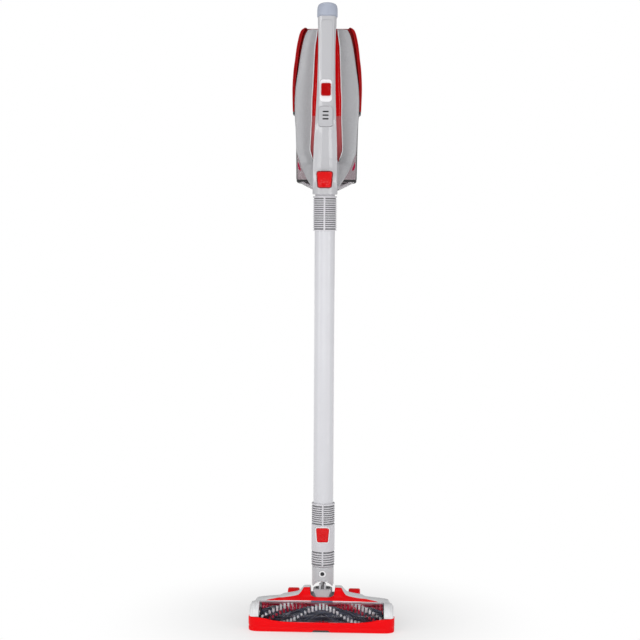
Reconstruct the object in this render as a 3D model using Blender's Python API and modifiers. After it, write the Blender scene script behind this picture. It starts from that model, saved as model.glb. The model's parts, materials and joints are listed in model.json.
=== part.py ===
"""Cordless stick vacuum: motorised floor head, tilting and swinging neck, tube, and hand unit.

Metres, +Z up, +X to the object's left-right, +Y towards the user behind it. The object stands on
z = 0 with its bounding box centred on x = 0, y = 0.
"""
import math

import bmesh
import bpy
from mathutils import Matrix, Vector

GAP = 0.0003

# Where the object lies along Y, measured from the tube's axis.
FRONT_Y = -0.0653
BACK_Y = 0.1164
TUBE_Y = -(FRONT_Y + BACK_Y) / 2

# Tube, its two ribbed collars, and the neck below them.
TUBE_R = 0.0175
TUBE_WALL = 0.0008
TUBE_LOW, TUBE_HIGH = 0.1523, 0.719
SOCKET_R = TUBE_R + GAP
LOWER_COLLAR_R = 0.0204
LOWER_COLLAR_LOW, LOWER_COLLAR_HIGH = 0.1045, 0.2160
UPPER_COLLAR_R = 0.0209
UPPER_COLLAR_LOW, UPPER_COLLAR_HIGH = 0.6940, 0.7540
KNUCKLE_R = 0.0194
KNUCKLE_WALL = 0.0025
KNUCKLE_LOW = 0.0710
SWING_Z = 0.0920
SWING_PIN_R = 0.0032
TILT_Y, TILT_Z = 0.0040, 0.0360
DRUM_R = 0.0190
DRUM_HALF = 0.0205
STUB_R = 0.0168
STUB_TOP = 0.0630

# Floor head.
HEAD_HALF = 0.1215
HEAD_FRONT, HEAD_REAR = -0.0613, 0.0085
SOLE_Z = 0.0035
BUMPER_HALF = 0.1272
BUMPER_TOP, BUMPER_DIP = 0.0250, 0.0176
CAP_IN, CAP_OUT = 0.1088, 0.1255
BRUSH_Y, BRUSH_Z = -0.0375, 0.0230
BRUSH_CORE_R = 0.0155
BRUSH_TIP_R = 0.0213
BRUSH_HALF = 0.1055
CHAMBER_HALF = 0.1068
CHAMBER_R = 0.0222
WINDOW_WALL = 0.0019
PULLEY_R = 0.0080
PINION_R = 0.0045
PINION_Y, PINION_Z = -0.0035, 0.0240
BELT_X, BELT_WIDTH = 0.1110, 0.0050
WHEEL_R = 0.0220
WHEEL_Y = 0.0520
WHEEL_IN, WHEEL_OUT = 0.0477, 0.0617
ARCH_R = 0.0270
TROUGH_HALF = 0.0218

# Hand unit: it leans back from the tube, and its handle leans a little further.
HAND_Z = 0.7600
BODY_LEAN = math.radians(7.0)
SPINE_LEAN = math.radians(11.5)
SPINE_Y, SPINE_Z = -0.0210, 0.7700
SHELL_WALL = 0.0022
MID_V, BACK_V = 0.0380, 0.0880
CUP_FRONT_V = 0.0468
CUP_LOW, CUP_HIGH = 0.0303, 0.1405
HOUSING_LOW, HOUSING_HIGH = 0.1445, 0.3030
MOTOR_V = 0.0658
FILTER_V = 0.0670
LID_PIN_V, LID_PIN_W = 0.0445, 0.0125
# The lid's hull: heights, half-widths and back edges, up to an upright rim under the cup.
LID_SECTIONS = ((0.0125, 0.0240, 0.0700), (0.0203, 0.0385, 0.0800), (0.0284, 0.0532, 0.0872),
                (0.0300, 0.0532, 0.0872))
LATCH_W = 0.0380
SOCKET_W = 0.2620
SWITCH_S, INDICATOR_S = 0.1725, 0.1245
BUTTON_TRAVEL = 0.0025

PARTS = "stick_vacuum"
CUTTERS = "stick_vacuum_cutters"

LOOKS = {
    "light_grey": ((0.56, 0.57, 0.60), 0.38, 0.0),
    "silver": ((0.40, 0.41, 0.42), 0.30, 0.55),
    "blue_grey": ((0.42, 0.45, 0.53), 0.42, 0.0),
    "tube_paint": ((0.72, 0.73, 0.75), 0.30, 0.2),
    "red": ((0.62, 0.010, 0.012), 0.28, 0.0),
    "deep_red": ((0.24, 0.006, 0.008), 0.35, 0.0),
    "clear": ((0.80, 0.76, 0.78), 0.06, 0.0),
    "smoke": ((0.45, 0.44, 0.46), 0.10, 0.0),
    "dark": ((0.035, 0.033, 0.045), 0.50, 0.0),
    "white": ((0.82, 0.82, 0.84), 0.45, 0.0),
    "steel": ((0.55, 0.55, 0.56), 0.28, 1.0),
    "copper_board": ((0.03, 0.16, 0.07), 0.5, 0.0),
    "filter_white": ((0.78, 0.77, 0.72), 0.9, 0.0),
    "rubber": ((0.03, 0.03, 0.03), 0.8, 0.0),
}


def clear_scene():
    for scene_object in list(bpy.data.objects):
        bpy.data.objects.remove(scene_object, do_unlink=True)


def collection(name):
    found = bpy.data.collections.get(name)
    if found is None:
        found = bpy.data.collections.new(name)
        bpy.context.scene.collection.children.link(found)
    return found


def material(look):
    found = bpy.data.materials.get(look)
    if found is None:
        colour, roughness, metallic = LOOKS[look]
        found = bpy.data.materials.new(look)
        found.use_nodes = True
        shader = found.node_tree.nodes["Principled BSDF"]
        shader.inputs["Base Color"].default_value = (*colour, 1.0)
        shader.inputs["Roughness"].default_value = roughness
        shader.inputs["Metallic"].default_value = metallic
        found.diffuse_color = (*colour, 1.0)
    return found


def frame_empty(name, parent, location, lean=0.0):
    """An empty whose Z axis leans back towards +Y by lean."""
    empty = bpy.data.objects.new(name, None)
    collection(PARTS).objects.link(empty)
    empty.parent = parent
    empty.location = location
    empty.rotation_euler = (-lean, 0.0, 0.0)
    return empty


def add(name, mesh, look, parent, location=(0, 0, 0), rotation=(0, 0, 0)):
    """Put a mesh in the scene as a part, or as a cutter when look is None."""
    part = bpy.data.objects.new(name, mesh)
    part.parent = parent
    part.location = location
    part.rotation_euler = rotation
    if look is None:
        collection(CUTTERS).objects.link(part)
        part.hide_render = True
        part.display_type = "WIRE"
    else:
        collection(PARTS).objects.link(part)
        mesh.materials.clear()
        mesh.materials.append(material(look))
        mesh.shade_smooth()
        mesh.set_sharp_from_angle(angle=math.radians(35))
    return part


def finish_bmesh(name, bm):
    mesh = bpy.data.meshes.new(name)
    bm.to_mesh(mesh)
    bm.free()
    return mesh


def modifier(part, kind, **values):
    made = part.modifiers.new(kind.lower(), kind)
    for key, value in values.items():
        setattr(made, key, value)
    return made


def bevel(part, width, segments=1, angle=40):
    modifier(part, "BEVEL", width=width, segments=segments, limit_method="ANGLE",
             angle_limit=math.radians(angle))


def solidify(part, thickness, even=True):
    modifier(part, "SOLIDIFY", thickness=thickness, offset=-1.0, use_even_offset=even)


def boolean(part, other, operation="DIFFERENCE"):
    modifier(part, "BOOLEAN", operation=operation, object=other, solver="EXACT")


def box(name, size, look, parent, centre):
    bm = bmesh.new()
    bmesh.ops.create_cube(bm, size=1.0, matrix=Matrix.Diagonal((*size, 1.0)))
    return add(name, finish_bmesh(name, bm), look, parent, centre)


def cylinder(name, radius, depth, look, parent, centre, axis="Z", segments=24, top_radius=None):
    turn = {"Z": (0, 0, 0), "X": (0, math.pi / 2, 0), "Y": (-math.pi / 2, 0, 0)}[axis]
    bm = bmesh.new()
    bmesh.ops.create_cone(bm, cap_ends=True, segments=segments, radius1=radius, depth=depth,
                          radius2=radius if top_radius is None else top_radius)
    return add(name, finish_bmesh(name, bm), look, parent, centre, turn)


def turned(name, profile, look, parent, centre, axis="Z", segments=24):
    """A profile of (radius, height) points turned about the axis.

    It runs down its outer side. A profile that doesn't start on the axis closes on itself.
    """
    turn = {"Z": (0, 0, 0), "X": (0, math.pi / 2, 0), "Y": (-math.pi / 2, 0, 0)}[axis]
    bm = bmesh.new()
    points = [bm.verts.new((radius, 0.0, height)) for radius, height in profile]
    for first, second in zip(points, points[1:]):
        bm.edges.new((first, second))
    if profile[0][0] > 0.0:
        bm.edges.new((points[-1], points[0]))
    part = add(name, finish_bmesh(name, bm), look, parent, centre, turn)
    modifier(part, "SCREW", angle=math.tau, steps=segments, render_steps=segments, axis="Z",
             use_merge_vertices=True, merge_threshold=0.00001, use_smooth_shade=True)
    return part


def sleeve(name, outer, inner, low, high, look, parent, centre=(0, 0, 0), axis="Z", segments=24):
    """A plain ring or tube from low to high along its axis."""
    profile = [(outer, high), (outer, low), (inner, low), (inner, high)]
    return turned(name, profile, look, parent, centre, axis, segments)


def skin(name, rows, look, parent, loop=False, caps=(False, False), location=(0, 0, 0)):
    """A surface through rows of points, optionally a closed loop with its ends capped."""
    bm = bmesh.new()
    grid = [[bm.verts.new(point) for point in row] for row in rows]
    count = len(grid[0])
    for low, high in zip(grid, grid[1:]):
        for i in range(count if loop else count - 1):
            j = (i + 1) % count
            bm.faces.new((low[i], low[j], high[j], high[i]))
    if caps[0]:
        bm.faces.new(list(reversed(grid[0])))
    if caps[1]:
        bm.faces.new(grid[-1])
    bmesh.ops.triangulate(bm, faces=bm.faces)
    return add(name, finish_bmesh(name, bm), look, parent, location)


def plate(name, outline, thickness, look, parent, location=(0, 0, 0), rotation=(0, 0, 0)):
    """A flat outline of (x, y) points, thickened both ways, made a mesh and welded."""
    curve = bpy.data.curves.new(name, "CURVE")
    curve.dimensions = "2D"
    curve.fill_mode = "BOTH"
    curve.extrude = thickness / 2
    spline = curve.splines.new("POLY")
    spline.points.add(len(outline) - 1)
    for point, (x, y) in zip(spline.points, outline):
        point.co = (x, y, 0.0, 1.0)
    spline.use_cyclic_u = True
    drawn = bpy.data.objects.new(name + "_curve", curve)
    bpy.context.scene.collection.objects.link(drawn)
    bpy.context.view_layer.update()
    evaluated = drawn.evaluated_get(bpy.context.evaluated_depsgraph_get())
    mesh = bpy.data.meshes.new_from_object(evaluated)
    bpy.data.objects.remove(drawn, do_unlink=True)
    bm = bmesh.new()
    bm.from_mesh(mesh)
    bmesh.ops.remove_doubles(bm, verts=bm.verts, dist=0.00001)
    bmesh.ops.recalc_face_normals(bm, faces=bm.faces)
    bm.to_mesh(mesh)
    bm.free()
    return add(name, mesh, look, parent, location, rotation)


def arc(centre, radius, start, end, count):
    """Points on a circle between two angles in degrees."""
    steps = [math.radians(start + (end - start) * i / (count - 1)) for i in range(count)]
    return [(centre[0] + radius * math.cos(a), centre[1] + radius * math.sin(a)) for a in steps]


def blend(table, at):
    """The value at a height, along straight lines between a table's (height, value) pairs."""
    for (low, first), (high, second) in zip(table, table[1:]):
        if at <= high:
            share = max(0.0, (at - low) / (high - low))
            return first + share * (second - first)
    return table[-1][1]


# ---------------------------------------------------------------- floor head


SIDEWAYS = (math.pi / 2, 0.0, math.pi / 2)  # turns a plate's outline from X, Y to Y, Z


def head_chassis(root):
    """The sole tray: brush chamber, motor and belt bays, rear wheel deck and axle ears."""
    front = box("head_chassis", (2 * HEAD_HALF, HEAD_REAR - HEAD_FRONT, 0.0215), "dark", root,
                (0, (HEAD_FRONT + HEAD_REAR) / 2, SOLE_Z + 0.01075))
    deck = box("deck_solid", (0.1370, 0.0640, 0.0072), None, root,
               (0, HEAD_REAR + 0.0300, SOLE_Z + 0.0036))
    boolean(front, deck, "UNION")
    for side in (-1, 1):
        ear = box("ear_solid", (0.0050, 0.0130, 0.0380), None, root,
                  (side * 0.0270, TILT_Y, SOLE_Z + 0.0190))
        boolean(front, ear, "UNION")
    chamber = cylinder("chamber_cut", CHAMBER_R + WINDOW_WALL + 2 * GAP, 2 * CHAMBER_HALF, None,
                       root, (0, BRUSH_Y, BRUSH_Z), "X", 32)
    slot = box("mouth_cut", (2 * CHAMBER_HALF, 0.0330, 0.0300), None, root, (0, BRUSH_Y, 0.0))
    open_front = box("open_front_cut", (0.30, 0.0200, 0.0200), None, root,
                     (0, HEAD_FRONT, 0.0190))
    duct = cylinder("duct_cut", DRUM_R + 0.0008, 2 * (DRUM_HALF + 0.0008), None, root,
                    (0, TILT_Y, TILT_Z), "X", 32)
    air_mouth = box("air_mouth_cut", (0.0340, 0.0260, 0.0140), None, root, (0, -0.0130, 0.0180))
    motor_bay = box("motor_bay_cut", (0.0520, 0.0212, 0.0260), None, root,
                    (0.0740, PINION_Y, 0.0205))
    shaft_way = box("shaft_way_cut", (0.0100, 0.0060, 0.0120), None, root,
                    (0.1040, PINION_Y, 0.0240))
    belt_bay = box("belt_bay_cut", (0.0090, 0.0560, 0.0280), None, root,
                   (BELT_X, -0.0215, 0.0235))
    neck_path = box("neck_path_cut", (2 * TROUGH_HALF, 0.0800, 0.0200), None, root,
                    (0, 0.0560, 0.0060))
    bearing = cylinder("bearing_cut", 0.0083, 2 * 0.1201, None, root, (0, BRUSH_Y, BRUSH_Z), "X")
    axle_hole = cylinder("axle_hole_cut", 0.0028, 0.0800, None, root, (0, TILT_Y, TILT_Z), "X", 16)
    cuts = [chamber, slot, open_front, duct, air_mouth, motor_bay, shaft_way, belt_bay, neck_path,
            bearing, axle_hole]
    for side in (-1, 1):
        corner = box("corner_cut", (0.0300, 0.0200, 0.0300), None, root,
                     (side * 0.1235, HEAD_FRONT, 0.0100))
        cuts.append(corner)
        well = cylinder("wheel_well_cut", WHEEL_R + 0.0015, 0.0176, None, root,
                        (side * 0.0547, WHEEL_Y, WHEEL_R), "X", 24)
        cuts.append(well)
    for cut in cuts:
        boolean(front, cut)


# The silver shell's stations: distance from the middle, points across, and their heights.
DECK_Y = (-0.0312, -0.0220, -0.0090, 0.0050, 0.0240)
WING_Y = (-0.0312, -0.0240, -0.0140, -0.0040, 0.0086)
COVER = [
    (0.0000, DECK_Y, (0.0475, 0.0510, 0.0540, 0.0560, 0.0500)),
    (0.0205, DECK_Y, (0.0475, 0.0520, 0.0610, 0.0665, 0.0580)),
    (0.0330, DECK_Y, (0.0475, 0.0515, 0.0600, 0.0655, 0.0570)),
    (0.0420, DECK_Y, (0.0473, 0.0500, 0.0540, 0.0560, 0.0500)),
    (0.0680, DECK_Y, (0.0468, 0.0490, 0.0510, 0.0510, 0.0460)),
    (0.0720, WING_Y, (0.0466, 0.0486, 0.0496, 0.0490, 0.0460)),
    (0.1000, WING_Y, (0.0460, 0.0475, 0.0480, 0.0470, 0.0440)),
    (0.1170, WING_Y, (0.0440, 0.0448, 0.0450, 0.0440, 0.0410)),
    (0.1205, WING_Y, (0.0350, 0.0350, 0.0350, 0.0350, 0.0330)),
]
SEAM_Z = 0.0254


def cover_height(x, y):
    """The silver shell's height at a point in plan."""
    return blend([(at, blend(list(zip(across, heights)), y)) for at, across, heights in COVER],
                 abs(x))


def head_cover(root):
    """The silver upper shell: two humps beside the neck, falling away into the wings."""
    rows = []
    for x, across, heights in COVER:
        row = [(x, y, z) for y, z in zip(across, heights)]
        row.append((x, across[-1], SEAM_Z))
        rows.append(list(reversed(row)))
    cover = skin("head_cover", rows, "silver", root)
    modifier(cover, "MIRROR", use_axis=(True, False, False), merge_threshold=0.0001)
    solidify(cover, 0.0020, even=False)
    trough = box("trough_cut", (2 * TROUGH_HALF, 0.0800, 0.1000), None, root, (0, 0.0230, 0.0600))
    axle_room = cylinder("axle_room_cut", 0.0040, 0.0700, None, root, (0, TILT_Y, TILT_Z), "X", 12)
    boolean(cover, trough)
    boolean(cover, axle_room)


def head_wedge(root):
    """The red spear laid over the front of the silver shell, with its tips out on the wings."""
    lift = 0.0010
    rows = []
    for x, back, front_rise, back_rise in (
            (0.0970, -0.0275, 0.0010, 0.0012), (0.0720, -0.0235, 0.0012, 0.0020),
            (0.0420, -0.0200, 0.0012, 0.0026), (0.0205, -0.0190, 0.0012, 0.0026),
            (0.0000, -0.0190, 0.0012, 0.0026)):
        front = -0.0300
        low = cover_height(x, front) + lift
        rear = cover_height(x, back) + lift
        rows.append([(x, front, low), (x, back, rear), (x, back, rear + back_rise),
                     (x, front, low + front_rise)])
    mirrored = [[(-x, y, z) for x, y, z in row] for row in reversed(rows[:-1])]
    wedge = rows + mirrored
    skin("head_wedge", list(reversed(wedge)), "red", root, loop=True, caps=(True, True))


def brush_window(root):
    """The clear quarter-round pane over the brush."""
    inner = CHAMBER_R + GAP
    outer = inner + WINDOW_WALL
    line = arc((BRUSH_Y, BRUSH_Z), outer, 196, 80, 9) + arc((BRUSH_Y, BRUSH_Z), inner, 80, 196, 9)
    plate("brush_window", line, 2 * (CAP_IN - GAP), "clear", root, rotation=SIDEWAYS)


def front_bumper(root):
    """The red bumper strip, bent round both front corners, its top edge dipping in the middle."""
    half = BUMPER_HALF
    front = FRONT_Y
    path = [(half, -0.040, 1), (half, -0.052, 1), (0.1215, -0.0605, 1), (0.1090, front, 1),
            (0.0800, front, 0.85), (0.0400, front, 0.35), (0.0, front, 0)]
    path = path + [(-x, y, rise) for x, y, rise in reversed(path[:-1])]
    inward = [(-1, 0), (-1, 0.25), (-0.7, 0.7), (-0.25, 1), (0, 1), (0, 1), (0, 1)]
    inward = inward + [(-x, y) for x, y in reversed(inward[:-1])]
    wall = 0.0026
    rows = []
    for (x, y, rise), (dx, dy) in zip(path, inward):
        top = BUMPER_DIP + rise * (BUMPER_TOP - BUMPER_DIP)
        back = (x + dx * wall, y + dy * wall)
        rows.append([(x, y, 0.0015), (x, y, top), (*back, top), (*back, 0.0015)])
    skin("front_bumper", rows, "red", root, loop=True, caps=(True, True))


def end_cap(root, side):
    """A side cheek of the brush chamber, following the window's curve."""
    name = "end_cap_right" if side > 0 else "end_cap_left"
    line = arc((BRUSH_Y, BRUSH_Z), 0.0242, 170, 83, 7) + [(-0.0316, 0.0470), (-0.0316, 0.0254)]
    line = [(-0.0613, 0.0254)] + line
    centre = side * (CAP_IN + CAP_OUT) / 2
    cap = plate(name, line, CAP_OUT - CAP_IN, "silver", root, (centre, 0, 0), SIDEWAYS)
    bay = cylinder("cap_bay_cut", 0.0120, 0.0068 + 2 * 0.0014, None, root,
                   (side * BELT_X, BRUSH_Y, BRUSH_Z), "X")
    seat = cylinder("cap_seat_cut", 0.0083, 2 * 0.1201, None, root, (0, BRUSH_Y, BRUSH_Z), "X")
    belt_way = box("cap_belt_cut", (0.0090, 0.0200, 0.0160), None, root,
                   (side * BELT_X, -0.0300, 0.0270))
    boolean(cap, bay)
    boolean(cap, seat)
    boolean(cap, belt_way)


def wheel_arch(root, side):
    """A red guard over one rear wheel, standing on the deck."""
    name = "wheel_arch_right" if side > 0 else "wheel_arch_left"
    line = [(WHEEL_Y + ARCH_R - 0.0005, 0.0111)]
    line += arc((WHEEL_Y, WHEEL_R), ARCH_R, 0, 180, 11) + [(WHEEL_Y - ARCH_R + 0.0008, 0.0111)]
    centre = side * (WHEEL_IN + WHEEL_OUT) / 2
    guard = plate(name, line, 0.0205, "red", root, (centre, 0, 0), SIDEWAYS)
    room = [(WHEEL_Y + WHEEL_R + 0.0015, 0.0)]
    room += arc((WHEEL_Y, WHEEL_R), WHEEL_R + 0.0015, 0, 180, 13)
    room += [(WHEEL_Y - WHEEL_R - 0.0015, 0.0)]
    well = plate("arch_well_cut", room, 0.0160, None, root, (centre, 0, 0), SIDEWAYS)
    hole = cylinder("arch_hole_cut", 0.0026, 0.0400, None, root, (centre, WHEEL_Y, WHEEL_R), "X", 12)
    boolean(guard, well)
    boolean(guard, hole)


def rear_wheel(root, side):
    """A tyred wheel on its own steel axle."""
    name = "right" if side > 0 else "left"
    centre = (side * (WHEEL_IN + WHEEL_OUT) / 2, WHEEL_Y, WHEEL_R)
    half = (WHEEL_OUT - WHEEL_IN) / 2
    profile = [(WHEEL_R - 0.0012, half), (WHEEL_R, half - 0.0012), (WHEEL_R, -half + 0.0012),
               (WHEEL_R - 0.0012, -half), (0.0170, -half), (0.0160, -0.0020), (0.0060, -0.0020),
               (0.0055, -half), (0.0026, -half), (0.0026, half), (0.0055, half),
               (0.0060, 0.0020), (0.0160, 0.0020), (0.0170, half)]
    turned("rear_wheel_" + name, profile, "dark", root, centre, "X", 32)
    cylinder("wheel_axle_" + name, 0.0023, 0.0200, "steel", root, centre, "X", 12)


def head_motor(root):
    cylinder("brush_motor", 0.0098, 0.0460, "steel", root, (0.0740, PINION_Y, PINION_Z), "X")
    profile = [(0.0, 0.0040), (PINION_R, 0.0040), (PINION_R, -0.0040), (0.0016, -0.0040),
               (0.0016, -0.0130), (0.0, -0.0130)]
    turned("motor_pinion", profile, "steel", root, (BELT_X, PINION_Y, PINION_Z), "X", 16)


def drive_belt(root):
    """A flat toothless belt round the brush pulley and the motor pinion."""
    reach = math.hypot(PINION_Y - BRUSH_Y, PINION_Z - BRUSH_Z)
    tilt = math.degrees(math.atan2(PINION_Z - BRUSH_Z, PINION_Y - BRUSH_Y))
    flare = math.degrees(math.acos((PULLEY_R - PINION_R) / reach))
    lines = []
    for extra in (0.0004, 0.0018):
        big = arc((BRUSH_Y, BRUSH_Z), PULLEY_R + extra, tilt + flare, tilt + 360 - flare, 13)
        small = arc((PINION_Y, PINION_Z), PINION_R + extra, tilt - flare, tilt + flare, 9)
        lines.append(big + small)
    x = (BELT_X + BELT_WIDTH / 2, BELT_X - BELT_WIDTH / 2)
    inner, outer = lines
    rows = [[(x[1], y, z) for y, z in inner], [(x[1], y, z) for y, z in outer],
            [(x[0], y, z) for y, z in outer], [(x[0], y, z) for y, z in inner]]
    rows.append(rows[0])
    belt = skin("drive_belt", rows, "rubber", root, loop=True)
    weld = modifier(belt, "WELD", merge_threshold=0.00001)
    weld.mode = "ALL"


def brush(root):
    """The brush roller: core with its end shafts, a pulley, and two wavy rows of bristles."""
    centre = (0, BRUSH_Y, BRUSH_Z)
    shaft_r, shaft_half = 0.0040, 0.1185
    profile = [(0.0, shaft_half), (shaft_r, shaft_half), (shaft_r, BRUSH_HALF),
               (BRUSH_CORE_R, BRUSH_HALF), (BRUSH_CORE_R, -BRUSH_HALF), (shaft_r, -BRUSH_HALF),
               (shaft_r, -shaft_half), (0.0, -shaft_half)]
    turned("brush_roller", profile, "dark", root, centre, "X", 24)
    bore = shaft_r + GAP
    sleeve("brush_pulley", PULLEY_R, bore, -0.0033, 0.0033, "dark", root,
           (BELT_X, BRUSH_Y, BRUSH_Z), "X")
    for name, place in (("left", -0.1110), ("right", 0.1172)):
        half = 0.0030 if name == "left" else 0.0022
        sleeve("brush_bearing_" + name, 0.0080, bore, -half, half, "steel", root,
               (place, BRUSH_Y, BRUSH_Z), "X")
    bristle_row("bristles_white", "white", root, math.radians(60))
    bristle_row("bristles_red", "red", root, math.radians(240))


def bristle_row(name, look, root, start):
    """A strip of tufts that climbs and falls round the roller in equal arches."""
    arch, climb, half_width, steps = 0.0610, math.radians(62), 0.0018, 28
    low, high = BRUSH_CORE_R + GAP, BRUSH_TIP_R
    rows = []
    for i in range(steps + 1):
        x = (i / steps - 0.5) * 2 * 0.1030
        middle = start + climb * abs(math.cos(math.pi * x / arch))
        row = []
        for radius, sign in ((low, 1), (high, 1), (high, -1), (low, -1)):
            angle = middle + sign * half_width / radius
            row.append((x, -radius * math.cos(angle), radius * math.sin(angle)))
        rows.append(row)
    skin(name, rows, look, root, loop=True, caps=(True, True), location=(0, BRUSH_Y, BRUSH_Z))


def floor_head(root):
    head_chassis(root)
    head_cover(root)
    head_wedge(root)
    brush_window(root)
    front_bumper(root)
    box("front_glide", (0.2000, 0.0046, 0.0032), "rubber", root, (0, -0.0587, 0.0016))
    for side in (-1, 1):
        end_cap(root, side)
        wheel_arch(root, side)
        rear_wheel(root, side)
    head_motor(root)
    drive_belt(root)
    brush(root)
    cylinder("tilt_axle", 0.0025, 0.0590, "steel", root, (0, TILT_Y, TILT_Z), "X", 16)


# ---------------------------------------------------------------- neck and tube


def neck_yoke(root):
    """The hollow tilting drum with its stub and the lug that carries the swing pin."""
    yoke = cylinder("neck_yoke", DRUM_R, 2 * DRUM_HALF, "light_grey", root,
                    (0, TILT_Y, TILT_Z), "X", 32)
    height = STUB_TOP - TILT_Z
    stub = cylinder("stub_solid", STUB_R, height, None, root, (0, 0, TILT_Z + height / 2))
    lug_top = cylinder("lug_top_solid", 0.0088, 0.0220, None, root, (0, 0, SWING_Z), "Y")
    lug = box("lug_solid", (0.0070, 0.0220, SWING_Z - TILT_Z), None, root,
              (0, 0, (SWING_Z + TILT_Z) / 2))
    for piece in (stub, lug, lug_top):
        boolean(yoke, piece, "UNION")
    drum_bore = cylinder("drum_bore_cut", DRUM_R - 0.0030, 2 * (DRUM_HALF - 0.0025), None, root,
                         (0, TILT_Y, TILT_Z), "X", 32)
    rooms = [drum_bore]
    for side in (-1, 1):
        rooms.append(box("stub_bore_cut", (0.0080, 0.0200, 0.0300), None, root,
                         (side * 0.0085, 0, STUB_TOP - 0.0060)))
    inlet = box("inlet_cut", (0.0300, 0.0160, 0.0160), None, root, (0, TILT_Y - 0.0160, 0.0270))
    pin_hole = cylinder("swing_hole_cut", SWING_PIN_R + GAP, 0.0600, None, root,
                        (0, 0, SWING_Z), "Y", 16)
    axle_hole = cylinder("tilt_hole_cut", 0.0028, 0.0600, None, root,
                         (0, TILT_Y, TILT_Z), "X", 16)
    for cut in (*rooms, inlet, pin_hole, axle_hole):
        boolean(yoke, cut)


def neck_knuckle(root):
    """The hollow knuckle that swings on the pin, with an arch cut out of its skirt."""
    high = LOWER_COLLAR_LOW - GAP
    knuckle = sleeve("neck_knuckle", KNUCKLE_R, KNUCKLE_R - KNUCKLE_WALL, KNUCKLE_LOW, high,
                     "light_grey", root, segments=32)
    arch = cylinder("arch_cut", 0.0186, 0.0600, None, root, (0, 0, 0.0604), "Y", 28)
    hole = cylinder("knuckle_hole_cut", SWING_PIN_R + GAP, 0.0600, None, root,
                    (0, 0, SWING_Z), "Y", 16)
    bush = cylinder("bush_seat_cut", 0.0064, 0.0052, None, root,
                    (0, -KNUCKLE_R, SWING_Z), "Y", 24)
    for cut in (arch, hole, bush):
        boolean(knuckle, cut)
    cylinder("swing_pin", SWING_PIN_R, 0.0420, "dark", root, (0, 0, SWING_Z), "Y", 16)
    sleeve("swing_bush", 0.0061, SWING_PIN_R + GAP, -0.0014, 0.0014, "white", root,
           (0, -KNUCKLE_R + 0.0006, SWING_Z), "Y")


def release_button(name, top, bottom, half_top, half_bottom, front, depth, root):
    """A red button wider at its top, flat in front, that is pushed towards +Y."""
    line = [(-half_bottom, bottom), (half_bottom, bottom), (half_top, top), (-half_top, top)]
    button = plate(name, line, depth, "red", root, (0, front + depth / 2, 0),
                   (math.pi / 2, 0.0, 0.0))
    bevel(button, 0.0006)


def collars_and_tube(root):
    profile = [(LOWER_COLLAR_R - 0.0008, LOWER_COLLAR_HIGH), (LOWER_COLLAR_R, 0.2145),
               (LOWER_COLLAR_R, LOWER_COLLAR_LOW), (0.0165, LOWER_COLLAR_LOW), (0.0165, 0.1518),
               (SOCKET_R, 0.1520), (SOCKET_R, LOWER_COLLAR_HIGH)]
    lower = turned("lower_collar", profile, "light_grey", root, (0, 0, 0), segments=32)
    window = box("button_window_cut", (0.0246, 0.0080, 0.0268), None, root, (0, -0.0215, 0.1618))
    boolean(lower, window)
    release_button("lower_button", 0.1742, 0.1493, 0.0116, 0.0095, -0.0230, 0.0024, root)
    sleeve("lower_button_spring", 0.0034, 0.0026, 0.0, 0.0025, "steel", root,
           (0, -0.0204, 0.1618), "Y", 12)
    sleeve("tube", TUBE_R, TUBE_R - TUBE_WALL, TUBE_LOW, TUBE_HIGH, "tube_paint", root,
           segments=32)
    profile = [(UPPER_COLLAR_R - 0.0008, UPPER_COLLAR_HIGH), (UPPER_COLLAR_R, 0.7525),
               (UPPER_COLLAR_R, 0.6955), (UPPER_COLLAR_R - 0.0008, UPPER_COLLAR_LOW),
               (SOCKET_R, UPPER_COLLAR_LOW), (SOCKET_R, UPPER_COLLAR_HIGH)]
    turned("upper_collar", profile, "light_grey", root, (0, 0, 0), segments=32)


# ---------------------------------------------------------------- hand unit


# Half-widths of the body, of the gap between its side panels, and of the handle in that gap.
BODY_HALF = [(0.016, 0.0540), (0.080, 0.0550), (0.1405, 0.0570), (0.1450, 0.0606),
             (0.190, 0.0617), (0.221, 0.0600), (0.242, 0.0570), (0.264, 0.0540), (0.285, 0.0505),
             (0.299, 0.0424), (0.303, 0.0360)]
PANEL_HALF = [(0.063, 0.0455), (0.079, 0.0530), (0.120, 0.0560), (0.1400, 0.0572),
              (0.190, 0.0560), (0.221, 0.0520), (0.264, 0.0455), (0.285, 0.0405), (0.296, 0.0350)]
CHANNEL_HALF = [(0.063, 0.0220), (0.079, 0.0279), (0.108, 0.0269), (0.137, 0.0258),
                (0.165, 0.0257), (0.192, 0.0243), (0.223, 0.0231), (0.262, 0.0214),
                (0.283, 0.0186), (0.296, 0.0176)]
HANDLE_HALF = [(0.058, 0.0205), (0.069, 0.0205), (0.1255, 0.0179), (0.184, 0.0158),
               (0.250, 0.0147), (0.296, 0.0163), (0.305, 0.0163)]


def d_section(half, front, middle, back, height, squareness=0.72, count=13):
    """Points from the right edge round the back to the left edge, at one height."""
    row = []
    for i in range(count):
        angle = math.pi * i / (count - 1)
        across = math.copysign(abs(math.cos(angle)) ** squareness, math.cos(angle))
        deep = math.sin(angle) ** squareness
        row.append((half * across, middle + (back - middle) * deep, height))
    if front < middle:
        row = [(half * 0.97, front, height)] + row + [(-half * 0.97, front, height)]
    return row


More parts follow.
